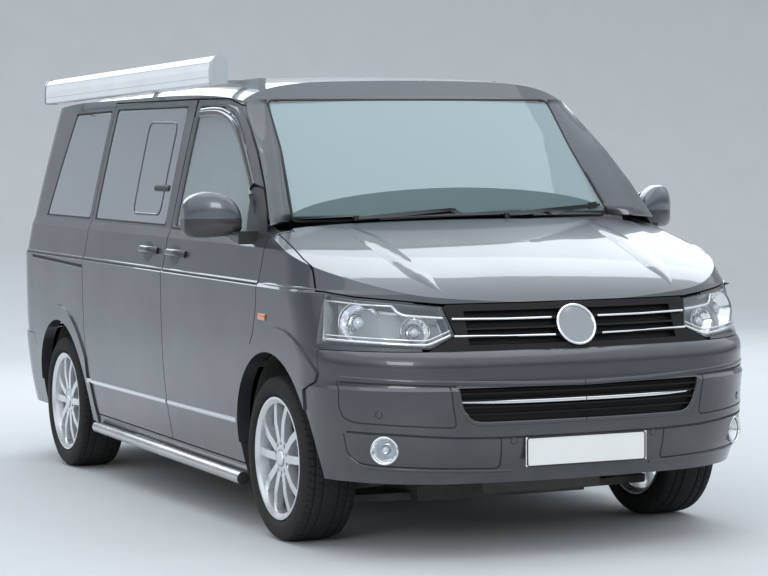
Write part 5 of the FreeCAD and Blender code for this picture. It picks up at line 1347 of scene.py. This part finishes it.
def stage_surface():
    """Floor that curls up into a wall far behind the van: one profile swept sideways."""
    t = np.linspace(0, math.pi / 2, 24)[1:]
    curl = np.stack([CURL_AT - CURL_RADIUS * np.sin(t), CURL_RADIUS - CURL_RADIUS * np.cos(t)], -1)
    line = np.vstack([[[FLOOR_END, 0.0], [CURL_AT, 0.0]], curl, [[CURL_AT - CURL_RADIUS, WALL_TOP]]])
    across = np.tile([-STAGE_HALF, STAGE_HALF], (len(line), 1))
    grid = np.stack([np.repeat(line[:, :1], 2, 1), across, np.repeat(line[:, 1:], 2, 1)], -1)
    mesh = bpy.data.meshes.new("stage_floor")
    mesh.from_pydata(grid.reshape(-1, 3).tolist(), [], grid_faces(len(line), 2).tolist())
    mesh.polygons.foreach_set("use_smooth", np.ones(len(mesh.polygons), bool))
    mesh.materials.append(plain("stage_pale", (0.50, 0.51, 0.52), 0.9, 300, 0.05, 0.02))
    floor = bpy.data.objects.new("stage_floor", mesh)
    bpy.context.scene.collection.objects.link(floor)


stage_surface()


# %% Light
def soft_lamp(name, place, aim, wide, high, power, color=(1, 1, 1)):
    """A rectangle of light at place that faces aim."""
    lamp = bpy.data.lights.new(name, "AREA")
    lamp.shape = "RECTANGLE"
    lamp.size, lamp.size_y, lamp.energy, lamp.color = wide, high, power, color
    holder = bpy.data.objects.new(name, lamp)
    holder.location = place
    holder.rotation_euler = (Vector(aim) - Vector(place)).to_track_quat("-Z", "Y").to_euler()
    bpy.context.scene.collection.objects.link(holder)


def dome():
    """A studio dome: dim at the horizon, bright from about 30 degrees up; the ray's own height sets it."""
    world = bpy.data.worlds.new("studio")
    bpy.context.scene.world = world
    world.use_nodes = True
    nodes, links = world.node_tree.nodes, world.node_tree.links
    way = nodes.new("ShaderNodeTexCoord")
    split = nodes.new("ShaderNodeSeparateXYZ")
    links.new(way.outputs["Generated"], split.inputs["Vector"])
    level = nodes.new("ShaderNodeMapRange")
    for label, number in (("From Min", 0.03), ("From Max", 0.30), ("To Min", 0.20), ("To Max", 1.30)):
        level.inputs[label].default_value = number
    links.new(split.outputs["Z"], level.inputs["Value"])
    links.new(level.outputs["Result"], nodes["Background"].inputs["Strength"])
    nodes["Background"].inputs["Color"].default_value = (0.84, 0.90, 0.95, 1)


dome()
soft_lamp("sky_lamp", (1.5, -0.5, 6.5), (0.3, 0, 0), 9.0, 6.0, 180, (0.93, 0.97, 1.0))
soft_lamp("back_panel", (-8.0, 2.0, 6.8), (1.2, 0, 0.9), 15.0, 6.0, 820, (0.86, 0.93, 1.0))
soft_lamp("front_lamp", (9.0, -7.0, 4.0), (0.5, 0, 0.8), 4.0, 3.0, 220)
bpy.context.scene.view_settings.view_transform = "Standard"


# %% Camera
PHOTO_WIDTH, FOCAL_PIXELS, SENSOR_WIDTH = 768, 2462.5, 36.0


def photo_camera():
    """Yaw, pitch and roll to a camera matrix: its columns are right, up and back."""
    yaw, tip, roll = (math.radians(v) for v in (156.414, -2.527, -0.800))
    ahead = np.array([math.cos(tip) * math.cos(yaw), math.cos(tip) * math.sin(yaw), math.sin(tip)])
    right = unit(np.cross(ahead, [0, 0, 1]))
    up = np.cross(right, ahead)
    rolled_right = right * math.cos(roll) + up * math.sin(roll)
    rolled_up = -right * math.sin(roll) + up * math.cos(roll)
    camera = bpy.data.objects.new("camera", bpy.data.cameras.new("camera"))
    place = Matrix.Identity(4)
    for k, axis in enumerate((rolled_right, rolled_up, -ahead)):
        place.col[k][:3] = axis.tolist()
    place.col[3][:3] = (10.7255, -4.4540, 1.4447)
    camera.matrix_world = place
    camera.data.sensor_width = SENSOR_WIDTH
    camera.data.lens = FOCAL_PIXELS / PHOTO_WIDTH * SENSOR_WIDTH
    camera.data.clip_end = 200
    bpy.context.scene.collection.objects.link(camera)
    bpy.context.scene.camera = camera


photo_camera()
